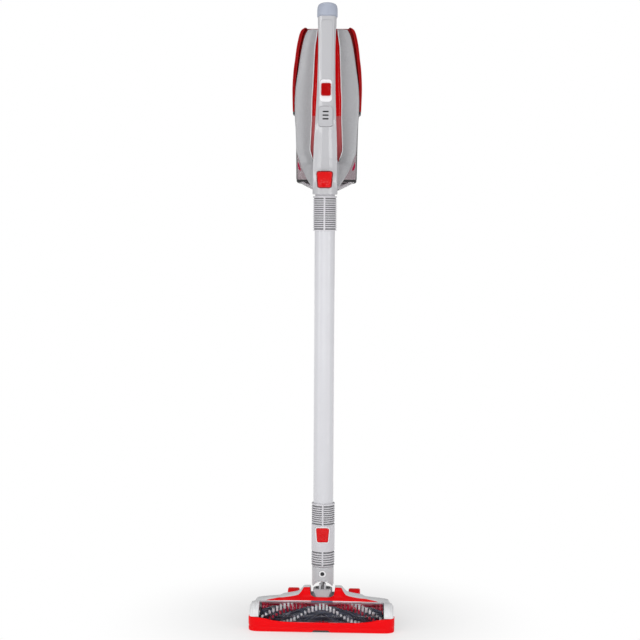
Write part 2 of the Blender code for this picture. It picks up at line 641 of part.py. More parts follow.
def nozzle_housing(root):
    """The shield-shaped lower housing that joins the spigot to the body, with its air duct."""
    sections = [(0.7572, 0.0218, -0.0218, 0.0218), (0.7680, 0.0225, -0.0225, 0.0235),
                (0.7780, 0.0265, -0.0225, 0.0275), (0.7920, 0.0345, -0.0210, 0.0320),
                (0.8060, 0.0410, -0.0185, 0.0350), (0.8200, 0.0450, -0.0150, 0.0375)]
    rows = []
    for z, half, front, back in sections:
        row = []
        for i in range(24):
            angle = math.tau * i / 24
            power = 1.0 if z < 0.76 else 0.86
            across = math.copysign(abs(math.cos(angle)) ** power, math.cos(angle))
            deep = math.copysign(abs(math.sin(angle)) ** power, math.sin(angle))
            row.append((half * across, (front + back) / 2 + (back - front) / 2 * deep, z))
        rows.append(row)
    housing = skin("nozzle_housing", rows, "silver", root, loop=True, caps=(True, True))
    spigot = cylinder("spigot_solid", 0.0172, 0.0400, None, root, (0, 0, 0.7415))
    outlet = cylinder("outlet_solid", 0.0138, 0.0345, None, root, (0, 0.03225, 0.7980), "Y")
    boolean(housing, spigot, "UNION")
    boolean(housing, outlet, "UNION")
    bore = cylinder("nozzle_bore_cut", 0.0145, 0.0700, None, root, (0, 0, 0.7500))
    elbow = cylinder("elbow_cut", 0.0115, 0.0600, None, root, (0, 0.0300, 0.7980), "Y")
    well = box("button_well_cut", (0.0280, 0.0160, 0.0290), None, root, (0, -0.0240, 0.7822))
    for cut in (bore, elbow, well):
        boolean(housing, cut)
    release_button("upper_button", 0.7957, 0.7688, 0.0133, 0.0107, -0.0235, 0.0040, root)
    sleeve("upper_button_spring", 0.0034, 0.0026, 0.0, 0.0026, "steel", root,
           (0, -0.0191, 0.7822), "Y", 12)


def handle(spine):
    """The grip bar in two shells, its end cap, and the battery stick inside."""
    cover_rows = []
    for s in (0.058, 0.069, 0.1255, 0.184, 0.250, 0.296, 0.305):
        half = blend(HANDLE_HALF, s)
        flat = 0.0052
        cover_rows.append([(-half, 0.0086, s), (-half, 0.0060, s), (-flat, 0.0, s), (flat, 0.0, s),
                           (half, 0.0060, s), (half, 0.0086, s), (half - 0.0022, 0.0086, s),
                           (flat, 0.0024, s), (-flat, 0.0024, s), (-half + 0.0022, 0.0086, s)])
    cover = skin("handle_cover", cover_rows, "light_grey", spine, loop=True, caps=(True, True))
    switch_slot = box("switch_slot_cut", (0.0110, 0.0120, 0.0220), None, spine,
                      (0, 0.0, SWITCH_S + 0.0030))
    panel_slot = box("panel_slot_cut", (0.0080, 0.0120, 0.0240), None, spine,
                     (0, 0.0, INDICATOR_S))
    boolean(cover, switch_slot)
    boolean(cover, panel_slot)
    grip_rows = []
    for s in (0.058, 0.1255, 0.184, 0.250, 0.296, 0.305):
        half = blend(HANDLE_HALF, s)
        outer = [(half * c, 0.0089 + 0.0172 * d, s) for c, d in
                 ((1, 0), (1, 0.45), (0.80, 0.85), (0.35, 1), (-0.35, 1), (-0.80, 0.85),
                  (-1, 0.45), (-1, 0))]
        inner = [(x * 0.84, min(y, 0.0240), z) for x, y, z in reversed(outer)]
        grip_rows.append(outer + inner)
    grip = skin("handle_grip", grip_rows, "light_grey", spine, loop=True, caps=(True, True))
    bridge = box("bridge_solid", (0.0240, 0.0172, 0.0140), None, spine, (0, 0.0322, 0.2850))
    foot = box("foot_solid", (0.0300, 0.0280, 0.0110), None, spine, (0, 0.0370, 0.0690))
    boolean(grip, bridge, "UNION")
    boolean(grip, foot, "UNION")
    profile = [(0.0, 0.0273), (0.0090, 0.0262), (0.0150, 0.0215), (0.0178, 0.0140),
               (0.0180, 0.0040), (0.0172, 0.0), (0.0, 0.0)]
    cap = turned("handle_cap", profile, "blue_grey", spine, (0, 0.0132, 0.3056), segments=32)
    cap.scale = (1.0, 0.80, 1.0)
    cylinder("battery_stick", 0.0078, 0.2050, "dark", spine, (0, 0.0140, 0.1930), segments=16)


def controls(spine):
    """The sliding power switch, the indicator panel and the light guide behind its slots."""
    switch = box("power_switch", (0.0168, 0.0026, 0.0222), "red", spine,
                 (0, -0.0019, SWITCH_S))
    bevel(switch, 0.0008)
    key = box("switch_key_solid", (0.0060, 0.0030, 0.0100), None, spine, (0, 0.0005, SWITCH_S))
    boolean(switch, key, "UNION")
    panel = box("indicator_panel", (0.0095, 0.0014, 0.0340), "light_grey", spine,
                (0, -0.0010, INDICATOR_S))
    for step in (-1, 0, 1):
        hole = box("bar_cut", (0.0056, 0.0060, 0.0026), None, spine,
                   (0, -0.0010, INDICATOR_S + 0.0020 + step * 0.0065))
        boolean(panel, hole)
    guide = box("light_guide", (0.0070, 0.0014, 0.0200), "dark", spine,
                (0, 0.0008, INDICATOR_S + 0.0020))
    for step in (-1, 0, 1):
        bar = box("bar_solid", (0.0050, 0.0016, 0.0020), None, spine,
                  (0, -0.0005, INDICATOR_S + 0.0020 + step * 0.0065))
        boolean(guide, bar, "UNION")
    box("control_board", (0.0098, 0.0014, 0.0640), "copper_board", spine, (0, 0.0042, 0.1430))


def channel_liner(hand):
    """The red bulkhead behind the handle, hollowed into a valley for the fingers."""
    rows = []
    for w in (0.066, 0.079, 0.108, 0.137, 0.165, 0.192, 0.223, 0.262, 0.283, 0.296):
        inner = blend(CHANNEL_HALF, w)
        outer = blend(PANEL_HALF, w) - 0.0030
        rows.append([(-outer, 0.0405, w), (-inner - 0.0030, 0.0385, w), (-inner * 0.8, 0.0425, w),
                     (0, 0.0436, w), (inner * 0.8, 0.0425, w), (inner + 0.0030, 0.0385, w),
                     (outer, 0.0405, w)])
    liner = skin("channel_liner", rows, "deep_red", hand)
    solidify(liner, 0.0018)
    return liner


def side_panel(hand, side):
    """One silver cheek from the rolled edge beside the channel round to the body's side."""
    rows = []
    for w in (0.0655, 0.079, 0.100, 0.120, 0.140, 0.165, 0.192, 0.221, 0.243, 0.264, 0.285, 0.296):
        inner = blend(CHANNEL_HALF, w)
        outer = blend(PANEL_HALF, w)
        line = [(inner, 0.0375), (inner + 0.0006, 0.0325), (inner + 0.0040, 0.0300),
                (inner * 0.45 + outer * 0.55, 0.0305), (outer - 0.0040, 0.0335), (outer, 0.0376)]
        line = [(side * x, v, w) for x, v in line]
        rows.append(line if side > 0 else list(reversed(line)))
    name = "side_panel_right" if side > 0 else "side_panel_left"
    panel = skin(name, rows, "silver", hand)
    solidify(panel, 0.0020)


def motor_housing(hand):
    """The red rear housing round the suction motor, open below and in front."""
    rows = [d_section(blend(BODY_HALF, w), MID_V, MID_V, back, w) for w, back in
            ((HOUSING_LOW, BACK_V), (0.190, BACK_V), (0.221, 0.0872), (0.242, 0.0862),
             (0.264, 0.0840), (0.285, 0.0790), (0.299, 0.0690), (HOUSING_HIGH, 0.0600))]
    housing = skin("motor_housing", rows, "red", hand, caps=(False, True))
    solidify(housing, SHELL_WALL)
    for step in range(5):
        slot = box("exhaust_cut", (0.0360, 0.0200, 0.0026), None, hand,
                   (0, 0.0880, 0.215 + step * 0.0070))
        boolean(housing, slot)
    port = box("socket_cut", (0.0126, 0.0200, 0.0106), None, hand, (0, 0.0860, SOCKET_W))
    boolean(housing, port)
    charge = box("charging_socket", (0.0120, 0.0100, 0.0100), "dark", hand, (0, 0.0795, SOCKET_W))
    jack = cylinder("jack_cut", 0.0028, 0.0160, None, hand, (0, 0.0860, SOCKET_W), "Y", 12)
    boolean(charge, jack)


def suction_motor(hand):
    """The motor can with its inlet rubber, and the impeller that spins below it."""
    axis = (0, MOTOR_V, 0)
    profile = [(0.0060, 0.2120), (0.0175, 0.2120), (0.0175, 0.1750), (0.0060, 0.1750),
               (0.0060, 0.1780), (0.0150, 0.1780), (0.0150, 0.2090), (0.0060, 0.2090)]
    turned("suction_motor", profile, "steel", hand, axis)
    sleeve("motor_mount", 0.0195, 0.0178, 0.1800, 0.2000, "rubber", hand, axis)
    profile = [(0.0, 0.2000), (0.0030, 0.2000), (0.0030, 0.1720), (0.0185, 0.1700),
               (0.0190, 0.1600), (0.0060, 0.1580), (0.0, 0.1580)]
    turned("impeller", profile, "steel", hand, axis, segments=16)


def dust_cup(hand):
    """The clear cup with its inlet, hinged lid, hinge pin, latch, and the filter inside."""
    outline = []
    for w in (CUP_LOW, 0.080, CUP_HIGH):
        half = blend(BODY_HALF, w) - 0.0008
        row = d_section(half, CUP_FRONT_V, CUP_FRONT_V + 0.0060, BACK_V - 0.0008, w)
        outline.append(row)
    cup = skin("dust_cup", outline, "clear", hand, loop=True)
    solidify(cup, 0.0020)
    inlet = cylinder("cup_inlet_cut", 0.0100, 0.0120, None, hand,
                     (0, CUP_FRONT_V, 0.0420), "Y")
    for side in (-1, 1):
        for deep, tall, v, w in ((0.0052, 0.0257, 0.0444, 0.02325),
                                 (0.0062, 0.0060, 0.0449, 0.0333)):
            ear = box("cup_ear_solid", (0.0040, deep, tall), None, hand, (side * 0.0186, v, w))
            boolean(cup, ear, "UNION")
    pin_hole = cylinder("pin_hole_cut", 0.0015, 0.0600, None, hand,
                        (0, LID_PIN_V, LID_PIN_W), "X", 12)
    boolean(cup, inlet)
    boolean(cup, pin_hole)
    lid_rows = [d_section(half, CUP_FRONT_V + 0.0012, CUP_FRONT_V + 0.0060, back, w)
                for w, half, back in LID_SECTIONS]
    lid = skin("cup_lid", lid_rows, "smoke", hand, loop=True, caps=(True, False))
    solidify(lid, 0.0020)
    barrel = cylinder("lid_barrel_solid", 0.0030, 0.0320, None, hand,
                      (0, LID_PIN_V, LID_PIN_W), "X", 16)
    tongue = box("lid_tongue_solid", (0.0300, 0.0100, 0.0030), None, hand,
                 (0, LID_PIN_V + 0.0050, LID_PIN_W))
    boolean(lid, tongue, "UNION")
    boolean(lid, barrel, "UNION")
    boolean(lid, pin_hole)
    cylinder("lid_pin", 0.0012, 0.0410, "steel", hand, (0, LID_PIN_V, LID_PIN_W), "X", 12)
    latch = box("cup_latch", (0.0180, 0.0034, 0.0120), "red", hand, (0, 0.0901, LATCH_W))
    bevel(latch, 0.0006)
    ring = []
    for w in (CUP_HIGH + GAP, HOUSING_LOW - GAP):
        half = blend(BODY_HALF, CUP_HIGH) - 0.0004
        ring.append(d_section(half, CUP_FRONT_V, CUP_FRONT_V + 0.0060, BACK_V - 0.0012, w))
    gasket = skin("cup_gasket", ring, "rubber", hand, loop=True)
    solidify(gasket, 0.0030)
    shroud = [(0.0150, 0.1000), (0.0150, 0.0600), (0.0120, 0.0560), (0.0100, 0.0560),
              (0.0128, 0.0604), (0.0134, 0.1000)]
    turned("filter_shroud", shroud, "smoke", hand, (0, FILTER_V, 0.0))
    sleeve("pleated_filter", 0.0170, 0.0120, 0.1004, 0.1395, "filter_white", hand,
           (0, FILTER_V, 0.0))


def main():
    clear_scene()
    root = frame_empty("tube_axis", None, (0, TUBE_Y, 0))
    hand = frame_empty("body_axis", root, (0, 0, HAND_Z), BODY_LEAN)
    spine = frame_empty("spine_axis", root, (0, SPINE_Y, SPINE_Z), SPINE_LEAN)
    floor_head(root)
    neck_yoke(root)
    neck_knuckle(root)
    collars_and_tube(root)
    nozzle_housing(root)
    handle(spine)
    controls(spine)
    channel_liner(hand)
    for side in (-1, 1):
        side_panel(hand, side)
    motor_housing(hand)
    suction_motor(hand)
    dust_cup(hand)
    bpy.context.view_layer.update()


main()
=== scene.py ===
"""The finished surfaces of a cordless stick vacuum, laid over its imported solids.

Metres, +Z up, the user stands at +Y. Three frames are used: the upright tube's axis, the hand unit's
body axis, which leans back from it, and the handle's spine, which leans a little further.
"""
import json
import math

import bmesh
import bpy
from mathutils import Matrix, Vector


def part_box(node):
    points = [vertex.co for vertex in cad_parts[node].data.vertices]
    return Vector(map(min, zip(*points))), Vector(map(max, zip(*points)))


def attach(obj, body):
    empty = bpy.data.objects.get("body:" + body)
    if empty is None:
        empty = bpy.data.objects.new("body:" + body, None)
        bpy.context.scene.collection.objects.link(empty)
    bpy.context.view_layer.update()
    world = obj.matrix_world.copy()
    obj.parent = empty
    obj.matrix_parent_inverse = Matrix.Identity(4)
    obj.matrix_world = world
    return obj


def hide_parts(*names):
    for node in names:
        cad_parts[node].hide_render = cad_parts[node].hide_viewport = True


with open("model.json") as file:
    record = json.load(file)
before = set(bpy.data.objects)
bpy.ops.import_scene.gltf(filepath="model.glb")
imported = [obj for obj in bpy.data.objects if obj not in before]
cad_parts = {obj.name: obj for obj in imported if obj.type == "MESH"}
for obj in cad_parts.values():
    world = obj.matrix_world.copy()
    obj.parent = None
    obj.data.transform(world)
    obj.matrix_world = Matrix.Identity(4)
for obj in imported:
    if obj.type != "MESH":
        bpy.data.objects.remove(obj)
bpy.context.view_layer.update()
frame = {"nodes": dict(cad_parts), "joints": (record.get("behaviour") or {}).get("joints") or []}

bl_info = {
    "name": "Stick vacuum finish",
    "version": (1, 0, 0),
    "blender": (4, 5, 0),
    "location": "View3D > Sidebar > Vacuum",
    "description": "Builds the finished surfaces of a cordless stick vacuum on its packed solids",
    "category": "Add Mesh",
}

JOINTS = {joint["name"]: joint for joint in frame["joints"]}


def lean_of(joint):
    """How far a joint's sliding axis leans from the vertical, in radians."""
    _, y, z = JOINTS[joint]["axis"]
    return math.atan2(abs(y), abs(z))


def middle(node):
    low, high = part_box(node)
    return (low + high) / 2


# The driving sizes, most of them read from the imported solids.
TUBE_Y = middle("tube").y
TUBE_R = (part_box("tube")[1].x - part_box("tube")[0].x) / 2
TUBE_LOW, TUBE_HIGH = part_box("tube")[0].z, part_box("tube")[1].z
BRUSH_Y, BRUSH_Z = middle("brush_roller").y, middle("brush_roller").z
BRUSH_HALF = 0.1055
TILT_Y, TILT_Z = JOINTS["neck_tilt"]["pos_m"][1:]
SWING_Z = JOINTS["neck_swing"]["pos_m"][2]
WHEEL_R = middle("rear_wheel_left").z
HAND_Z = 0.7600
BODY_LEAN = lean_of("cup_remove")
SPINE_LEAN = lean_of("power_slide")
SPINE_Y, SPINE_Z = TUBE_Y - 0.0210, 0.7700

UPRIGHT = Matrix.Translation((0, TUBE_Y, 0))
BODY = Matrix.Translation((0, TUBE_Y, HAND_Z)) @ Matrix.Rotation(-BODY_LEAN, 4, "X")
SPINE = Matrix.Translation((0, SPINE_Y, SPINE_Z)) @ Matrix.Rotation(-SPINE_LEAN, 4, "X")


# ---------------------------------------------------------------- outlines and curves


def through(table):
    """A function that follows a table of (place, value) pairs as one smooth curve."""
    places = [place for place, _ in table]
    values = [value for _, value in table]
    last = len(table) - 1

    def slope(i):
        if i in (0, last):
            j = min(i, last - 1)
            return (values[j + 1] - values[j]) / (places[j + 1] - places[j])
        before = (values[i] - values[i - 1]) / (places[i] - places[i - 1])
        after = (values[i + 1] - values[i]) / (places[i + 1] - places[i])
        if before * after <= 0:
            return 0.0
        return 2 * before * after / (before + after)

    def value(at):
        at = min(max(at, places[0]), places[-1])
        i = max(j for j in range(last) if places[j] <= at)
        step = places[i + 1] - places[i]
        t = (at - places[i]) / step
        rise, fall = slope(i) * step, slope(i + 1) * step
        return ((2 * t ** 3 - 3 * t ** 2 + 1) * values[i] + (t ** 3 - 2 * t ** 2 + t) * rise
                + (3 * t ** 2 - 2 * t ** 3) * values[i + 1] + (t ** 3 - t ** 2) * fall)

    return value


def spaced(low, high, count):
    return [low + (high - low) * i / (count - 1) for i in range(count)]


def softened(points, passes=2, closed=True):
    """An outline with its corners cut, pass after pass. A doubled point keeps a corner tighter."""
    for _ in range(passes):
        made = []
        pairs = list(zip(points, points[1:] + points[:1]))
        for a, b in pairs if closed else pairs[:-1]:
            made.append(tuple(p * 0.75 + q * 0.25 for p, q in zip(a, b)))
            made.append(tuple(p * 0.25 + q * 0.75 for p, q in zip(a, b)))
        points = made if closed else [points[0]] + made + [points[-1]]
    return points


def both_sides(half):
    """A closed outline from its right half, which runs from the middle round to the middle."""
    left = [(-x, y) for x, y in reversed(half) if abs(x) > 1e-6]
    return half + left


def ring(radius, count, deep=None, power=1.0, centre=(0.0, 0.0)):
    """A circle, an ellipse or a squarer form of one."""
    deep = radius if deep is None else deep
    points = []
    for i in range(count):
        angle = math.tau * i / count
        x, y = math.cos(angle), math.sin(angle)
        points.append((centre[0] + radius * math.copysign(abs(x) ** power, x),
                       centre[1] + deep * math.copysign(abs(y) ** power, y)))
    return points


def arc(radius, start, end, count, centre=(0.0, 0.0)):
    """Points on a round stretch between two angles in degrees."""
    angles = [math.radians(degrees) for degrees in spaced(start, end, count)]
    return [(centre[0] + radius * math.cos(a), centre[1] + radius * math.sin(a)) for a in angles]


def rounded_outline(corners, radius, steps=6):
    """A closed outline with each corner rounded to the radius; corners run anticlockwise."""
    points = []
    for i, here in enumerate(corners):
        before, after = Vector(corners[i - 1]), Vector(corners[(i + 1) % len(corners)])
        here = Vector(here)
        back, on = (before - here).normalized(), (after - here).normalized()
        half = math.acos(max(-1.0, min(1.0, back.dot(on)))) / 2
        reach = radius / math.tan(half)
        start, end = here + back * reach, here + on * reach
        centre = here + (back + on).normalized() * (radius / math.sin(half))
        first, sweep = start - centre, (start - centre).angle_signed(end - centre)
        for k in range(steps + 1):
            turned_by = Matrix.Rotation(-sweep * k / steps, 2) @ first
            points.append(tuple(centre + turned_by))
    return points


def rounded_box(left, right, low, high, radius, steps):
    """A rectangle with rounded corners."""
    return rounded_outline([(left, low), (right, low), (right, high), (left, high)], radius, steps)


def resampled(points, count):
    """The closed outline again, with its points evenly spaced."""
    loop = [Vector(p) for p in points] + [Vector(points[0])]
    lengths = [(b - a).length for a, b in zip(loop, loop[1:])]
    total, made, i, run = sum(lengths), [], 0, 0.0
    for k in range(count):
        target = total * k / count
        while run + lengths[i] < target:
            run += lengths[i]
            i += 1
        share = (target - run) / max(lengths[i], 1e-9)
        made.append(tuple(loop[i].lerp(loop[i + 1], share)))
    return made


# ---------------------------------------------------------------- meshes


def lay(matrix, outline, height):
    """An outline's points, laid flat at a height."""
    return [matrix @ Vector((x, y, height)) for x, y in outline]


def lay_across(matrix, outline, x):
    """An outline of (y, z) points, set upright at a distance across."""
    return [matrix @ Vector((x, y, z)) for y, z in outline]


def add_rows(bm, rows, loop=True, caps=(True, True)):
    """Faces through rows of points, as a closed tube or an open sheet."""
    grid = [[bm.verts.new(point) for point in row] for row in rows]
    count = len(grid[0])
    for low, high in zip(grid, grid[1:]):
        for i in range(count if loop else count - 1):
            j = (i + 1) % count
            bm.faces.new((low[i], low[j], high[j], high[i]))
    for row, wanted in ((grid[0], caps[0]), (grid[-1], caps[1])):
        if wanted:
            bm.faces.new(row)
    return grid


def add_hoop(bm, rows):
    """Faces through rows whose last joins the first, as in a ring or an open shell with a wall."""
    add_rows(bm, rows + [rows[0]], True, (False, False))


def add_turned(bm, profile, matrix, segments=96, closed=False):
    """A profile of (radius, height) points turned about the matrix's Z axis."""
    rows = []
    for radius, height in profile:
        rows.append(lay(matrix, ring(max(radius, 1e-6), segments), height))
    if closed:
        rows.append(rows[0])
    add_rows(bm, rows, True, (False, False))


def add_cushion(bm, outline, height, fillet, matrix, dent=None, rings=14, base=0.0, crown=0.0):
    """A raised pad over an outline: straight sides, a rounded edge, and a crowned top.

    dent is (x, y, radius, depth) of a round thumb hollow in the top.
    """
    centre = Vector((sum(p[0] for p in outline), sum(p[1] for p in outline))) / len(outline)
    size = min((Vector(p) - centre).length for p in outline)
    levels = [(0.0, base)]
    for k in range(6):
        angle = math.pi / 2 * k / 5
        levels.append((fillet * (1 - math.cos(angle)), height - fillet + fillet * math.sin(angle)))
    rows = []
    for inset, z in levels:
        rows.append([tuple(Vector(p).lerp(centre, inset / size)) + (z,) for p in outline])
    start = fillet / size
    for k in range(1, rings + 1):
        share = start + (1 - start) * k / rings * 0.999
        rows.append([tuple(Vector(p).lerp(centre, share)) + (height,) for p in outline])
    finished = []
    for row in rows:
        line = []
        for x, y, z in row:
            away = (Vector((x, y)) - centre).length / size
            if z >= height - fillet:
                z += crown * max(0.0, 1 - away ** 2)
            if dent and z > height - fillet / 2:
                reach = math.hypot(x - dent[0], y - dent[1]) / dent[2]
                if reach < 1:
                    z -= dent[3] * (1 - reach ** 2) ** 0.6
            line.append(matrix @ Vector((x, y, z)))
        finished.append(line)
    add_rows(bm, finished, True, (True, True))


def add_mesh(bm, mesh, matrix=None):
    """Another mesh's faces, added to this one."""
    start = len(bm.verts)
    bm.from_mesh(mesh)
    if matrix is not None:
        bm.verts.ensure_lookup_table()
        bmesh.ops.transform(bm, matrix=matrix, verts=bm.verts[start:])


def new_object(name, bm):
    mesh = bpy.data.meshes.new(name)
    bm.to_mesh(mesh)
    bm.free()
    made = bpy.data.objects.new(name, mesh)
    bpy.context.scene.collection.objects.link(made)
    return made


def closed_object(name, bm, merge=0.000001):
    """An object whose doubles are merged and whose faces point outwards."""
    bmesh.ops.remove_doubles(bm, verts=bm.verts, dist=merge)
    bmesh.ops.recalc_face_normals(bm, faces=bm.faces)
    return new_object(name, bm)


def skinned(name, rows, hoop=False):
    """A closed object whose faces run through rows of points."""
    bm = bmesh.new()
    if hoop:
        add_hoop(bm, rows)
    else:
        add_rows(bm, rows)
    return closed_object(name, bm)


def applied(made):
    """The object with its modifiers turned into plain mesh."""
    bpy.context.view_layer.update()
    graph = bpy.context.evaluated_depsgraph_get()
    mesh = bpy.data.meshes.new_from_object(made.evaluated_get(graph))
    made.modifiers.clear()
    made.data = mesh
    return made


def change(made, kind, **values):
    """One modifier, added and turned into plain mesh."""
    modifier = made.modifiers.new(kind.lower(), kind)
    for key, value in values.items():
        setattr(modifier, key, value)
    return applied(made)


def cut(made, cutter, operation="DIFFERENCE"):
    change(made, "BOOLEAN", object=cutter, operation=operation, solver="EXACT")
    bpy.data.objects.remove(cutter, do_unlink=True)
    return made


def prism(name, outline, low, high, matrix):
    """An outline drawn out between two heights: a cutter or a plain solid."""
    return skinned(name, [lay(matrix, outline, z) for z in (low, high)])


def block(name, size, centre, matrix):
    half_x, half_y, half_z = (value / 2 for value in size)
    outline = [(centre[0] - half_x, centre[1] - half_y), (centre[0] + half_x, centre[1] - half_y),
               (centre[0] + half_x, centre[1] + half_y), (centre[0] - half_x, centre[1] + half_y)]
    return prism(name, outline, centre[2] - half_z, centre[2] + half_z, matrix)


def finish_named(name):
    """A finish by its name; the materials step comes before every other step."""
    if name not in LOOKS:
        raise RuntimeError("Make the materials first")
    return LOOKS[name]


def finish_piece(made, look, body, replaced=(), angle=32):
    """Gives a finished piece its finish and shading, hangs it on its body, and hides the solids it
    replaces.
    """
    mesh = made.data
    mesh.materials.clear()
    mesh.materials.append(finish_named(look))
    mesh.shade_smooth()
    mesh.set_sharp_from_angle(angle=math.radians(angle))
    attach(made, body)
    if replaced:
        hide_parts(*replaced)
    return made


def face_on(matrix, forward=0.0):
    """A drawing board that faces the front: its X is across, its Y is up, its Z comes forward."""
    board = Matrix(((1, 0, 0, 0), (0, 0, -1, -forward), (0, 1, 0, 0), (0, 0, 0, 1)))
    return matrix @ board


# A sideways turn of a drawing board: its Z becomes the world's X.
ALONG_X = Matrix(((0, 0, 1, 0), (1, 0, 0, 0), (0, 1, 0, 0), (0, 0, 0, 1)))


# ---------------------------------------------------------------- shader groups and materials


class Wiring:
    """Adds nodes to a tree; a node's inputs are given by label, as values or as other sockets."""

    def __init__(self, tree):
        self.tree = tree

    def node(self, kind, settings=None, **inputs):
        made = self.tree.nodes.new(kind)
        for key, value in (settings or {}).items():
            setattr(made, key, value)
        for label, value in inputs.items():
            self.feed(made, label.replace("_", " "), value)
        return made

    def feed(self, node, label, value):
        """Sets or links one input; a label such as i2 stands for the input with that number."""
        numbered = label[0] == "i" and label[1:].isdigit()
        socket = node.inputs[int(label[1:]) if numbered else label]
        if isinstance(value, bpy.types.NodeSocket):
            self.tree.links.new(value, socket)
        else:
            socket.default_value = value

    def math(self, operation, first, second=0.0, third=0.0):
        made = self.node("ShaderNodeMath", {"operation": operation}, i0=first, i1=second, i2=third)
        return made.outputs[0]


class Group(Wiring):
    """A node group with named inputs and results."""

    def __init__(self, name, kind, inputs):
        super().__init__(bpy.data.node_groups.new(name, kind))
        kinds = {float: "NodeSocketFloat", int: "NodeSocketInt", tuple: "NodeSocketColor"}
        for label, default in inputs.items():
            self.socket(label, "INPUT", kinds[type(default)]).default_value = default
        if kind == "GeometryNodeTree":
            self.socket("Material", "INPUT", "NodeSocketMaterial")
        self.given = self.tree.nodes.new("NodeGroupInput")

    def socket(self, label, side, kind):
        return self.tree.interface.new_socket(label, in_out=side, socket_type=kind)

    def shade(self, **results):
        """Ends a shader group; a result named Colour is a colour, the others are numbers."""
        for label in results:
            kind = "NodeSocketColor" if label == "Colour" else "NodeSocketFloat"
            self.socket(label.replace("_", " "), "OUTPUT", kind)
        self.node("NodeGroupOutput", **results)
        return self.tree

    def grow(self, geometry):
        """Ends a geometry group with plain geometry that wears the given material."""
        self.socket("Geometry", "OUTPUT", "NodeSocketGeometry")
        realised = self.node("GeometryNodeRealizeInstances", Geometry=geometry)
        dressed = self.node("GeometryNodeSetMaterial", Geometry=realised.outputs[0],
                            Material=self.given.outputs["Material"])
        self.node("NodeGroupOutput", Geometry=dressed.outputs[0])
        return self.tree


def grain_group():
    """Colour variation and fine moulded grain, from object coordinates."""
    group = Group("Moulded grain", "ShaderNodeTree",
                  {"Colour": (0.8, 0.8, 0.8, 1.0), "Variation": 0.04, "Grain scale": 900.0,
                   "Roughness": 0.35, "Roughness spread": 0.08})
    put = group.given.outputs
    place = group.node("ShaderNodeTexCoord").outputs["Object"]
    cloud = group.node("ShaderNodeTexNoise", Vector=place, Scale=22.0, Detail=3.0)
    grain = group.node("ShaderNodeTexNoise", Vector=place, Scale=put["Grain scale"], Detail=2.0)
    shift = group.math("SUBTRACT", cloud.outputs["Fac"], 0.5)
    amount = group.math("MULTIPLY_ADD", shift, put["Variation"], 1.0)
    scaled = group.node("ShaderNodeVectorMath", {"operation": "SCALE"}, i0=put["Colour"],
                        Scale=amount)
    rough = group.math("MULTIPLY_ADD", grain.outputs["Fac"], put["Roughness spread"],
                       put["Roughness"])
    return group.shade(Colour=scaled.outputs[0], Roughness=rough, Grain_height=grain.outputs["Fac"])


def flake_group():
    """Fine metal flakes in a paint: a light and dark speckle laid over the colour."""
    group = Group("Metal flake", "ShaderNodeTree",
                  {"Colour": (0.8, 0.8, 0.8, 1.0), "Flake scale": 1500.0, "Flake amount": 0.12})
    put = group.given.outputs
    place = group.node("ShaderNodeTexCoord").outputs["Object"]
    cells = group.node("ShaderNodeTexVoronoi", Vector=place, Scale=put["Flake scale"])
    single = group.node("ShaderNodeSeparateColor", i0=cells.outputs["Color"])
    shift = group.math("SUBTRACT", single.outputs[0], 0.5)
    amount = group.math("MULTIPLY_ADD", shift, put["Flake amount"], 1.0)
    scaled = group.node("ShaderNodeVectorMath", {"operation": "SCALE"}, i0=put["Colour"],
                        Scale=amount)
    return group.shade(Colour=scaled.outputs[0])


def dust_group():
    """A mask of thin dust and rubbed spots, heavier low down on the object."""
    group = Group("Floor dust", "ShaderNodeTree", {"Amount": 0.2, "Reach": 0.06})
    put = group.given.outputs
    place = group.node("ShaderNodeTexCoord").outputs["Object"]
    parts = group.node("ShaderNodeSeparateXYZ", i0=place)
    fall = group.node("ShaderNodeMapRange", Value=parts.outputs["Z"], From_Min=0.0,
                      From_Max=put["Reach"], To_Min=1.0, To_Max=0.0)
    cloud = group.node("ShaderNodeTexNoise", Vector=place, Scale=90.0, Detail=6.0)
    spots = group.math("MULTIPLY", fall.outputs["Result"], cloud.outputs["Fac"])
    return group.shade(Mask=group.math("MULTIPLY", spots, put["Amount"]))


GROUPS = {}
LOOKS = {}


def shared(wires, builder, **values):
    """One of the shader groups, built on its first use and placed with its own values."""
    if builder not in GROUPS:
        GROUPS[builder] = builder()
    return wires.node("ShaderNodeGroup", {"node_tree": GROUPS[builder]}, **values)


def plastic(name, colour, roughness=0.3, coat=0.0, variation=0.05, grain=900.0, bump=0.03,
            flake=0.0, metallic=0.0, specular=0.5, dust=0.0):
    """A moulded or painted finish: grain, optional metal flake, optional floor dust."""
    look = bpy.data.materials.new(name)
    look.use_nodes = True
    wires = Wiring(look.node_tree)
    shader = look.node_tree.nodes["Principled BSDF"]
    for label, value in (("Coat Weight", coat), ("Coat Roughness", 0.06), ("Metallic", metallic),
                         ("Specular IOR Level", specular)):
        wires.feed(shader, label, value)
    result = (*colour, 1.0)
    base = shared(wires, grain_group, Colour=result, Variation=variation, Grain_scale=grain,
                  Roughness=roughness)
    if variation:
        result = base.outputs["Colour"]
    if flake:
        speckle = shared(wires, flake_group, Flake_amount=flake, Colour=result)
        result = speckle.outputs["Colour"]
    if dust:
        mask = shared(wires, dust_group, Amount=dust)
        mixed = wires.node("ShaderNodeMix", {"data_type": "RGBA"}, Factor=mask.outputs["Mask"],
                           i6=result, i7=(0.42, 0.40, 0.37, 1.0))
        result = mixed.outputs[2]
    wires.feed(shader, "Base Color", result)
    wires.feed(shader, "Roughness", base.outputs["Roughness"])
    if bump:
        relief = wires.node("ShaderNodeBump", Strength=bump, Distance=0.0004,
                            Height=base.outputs["Grain height"])
        wires.feed(shader, "Normal", relief.outputs["Normal"])
    LOOKS[name] = look
    return look


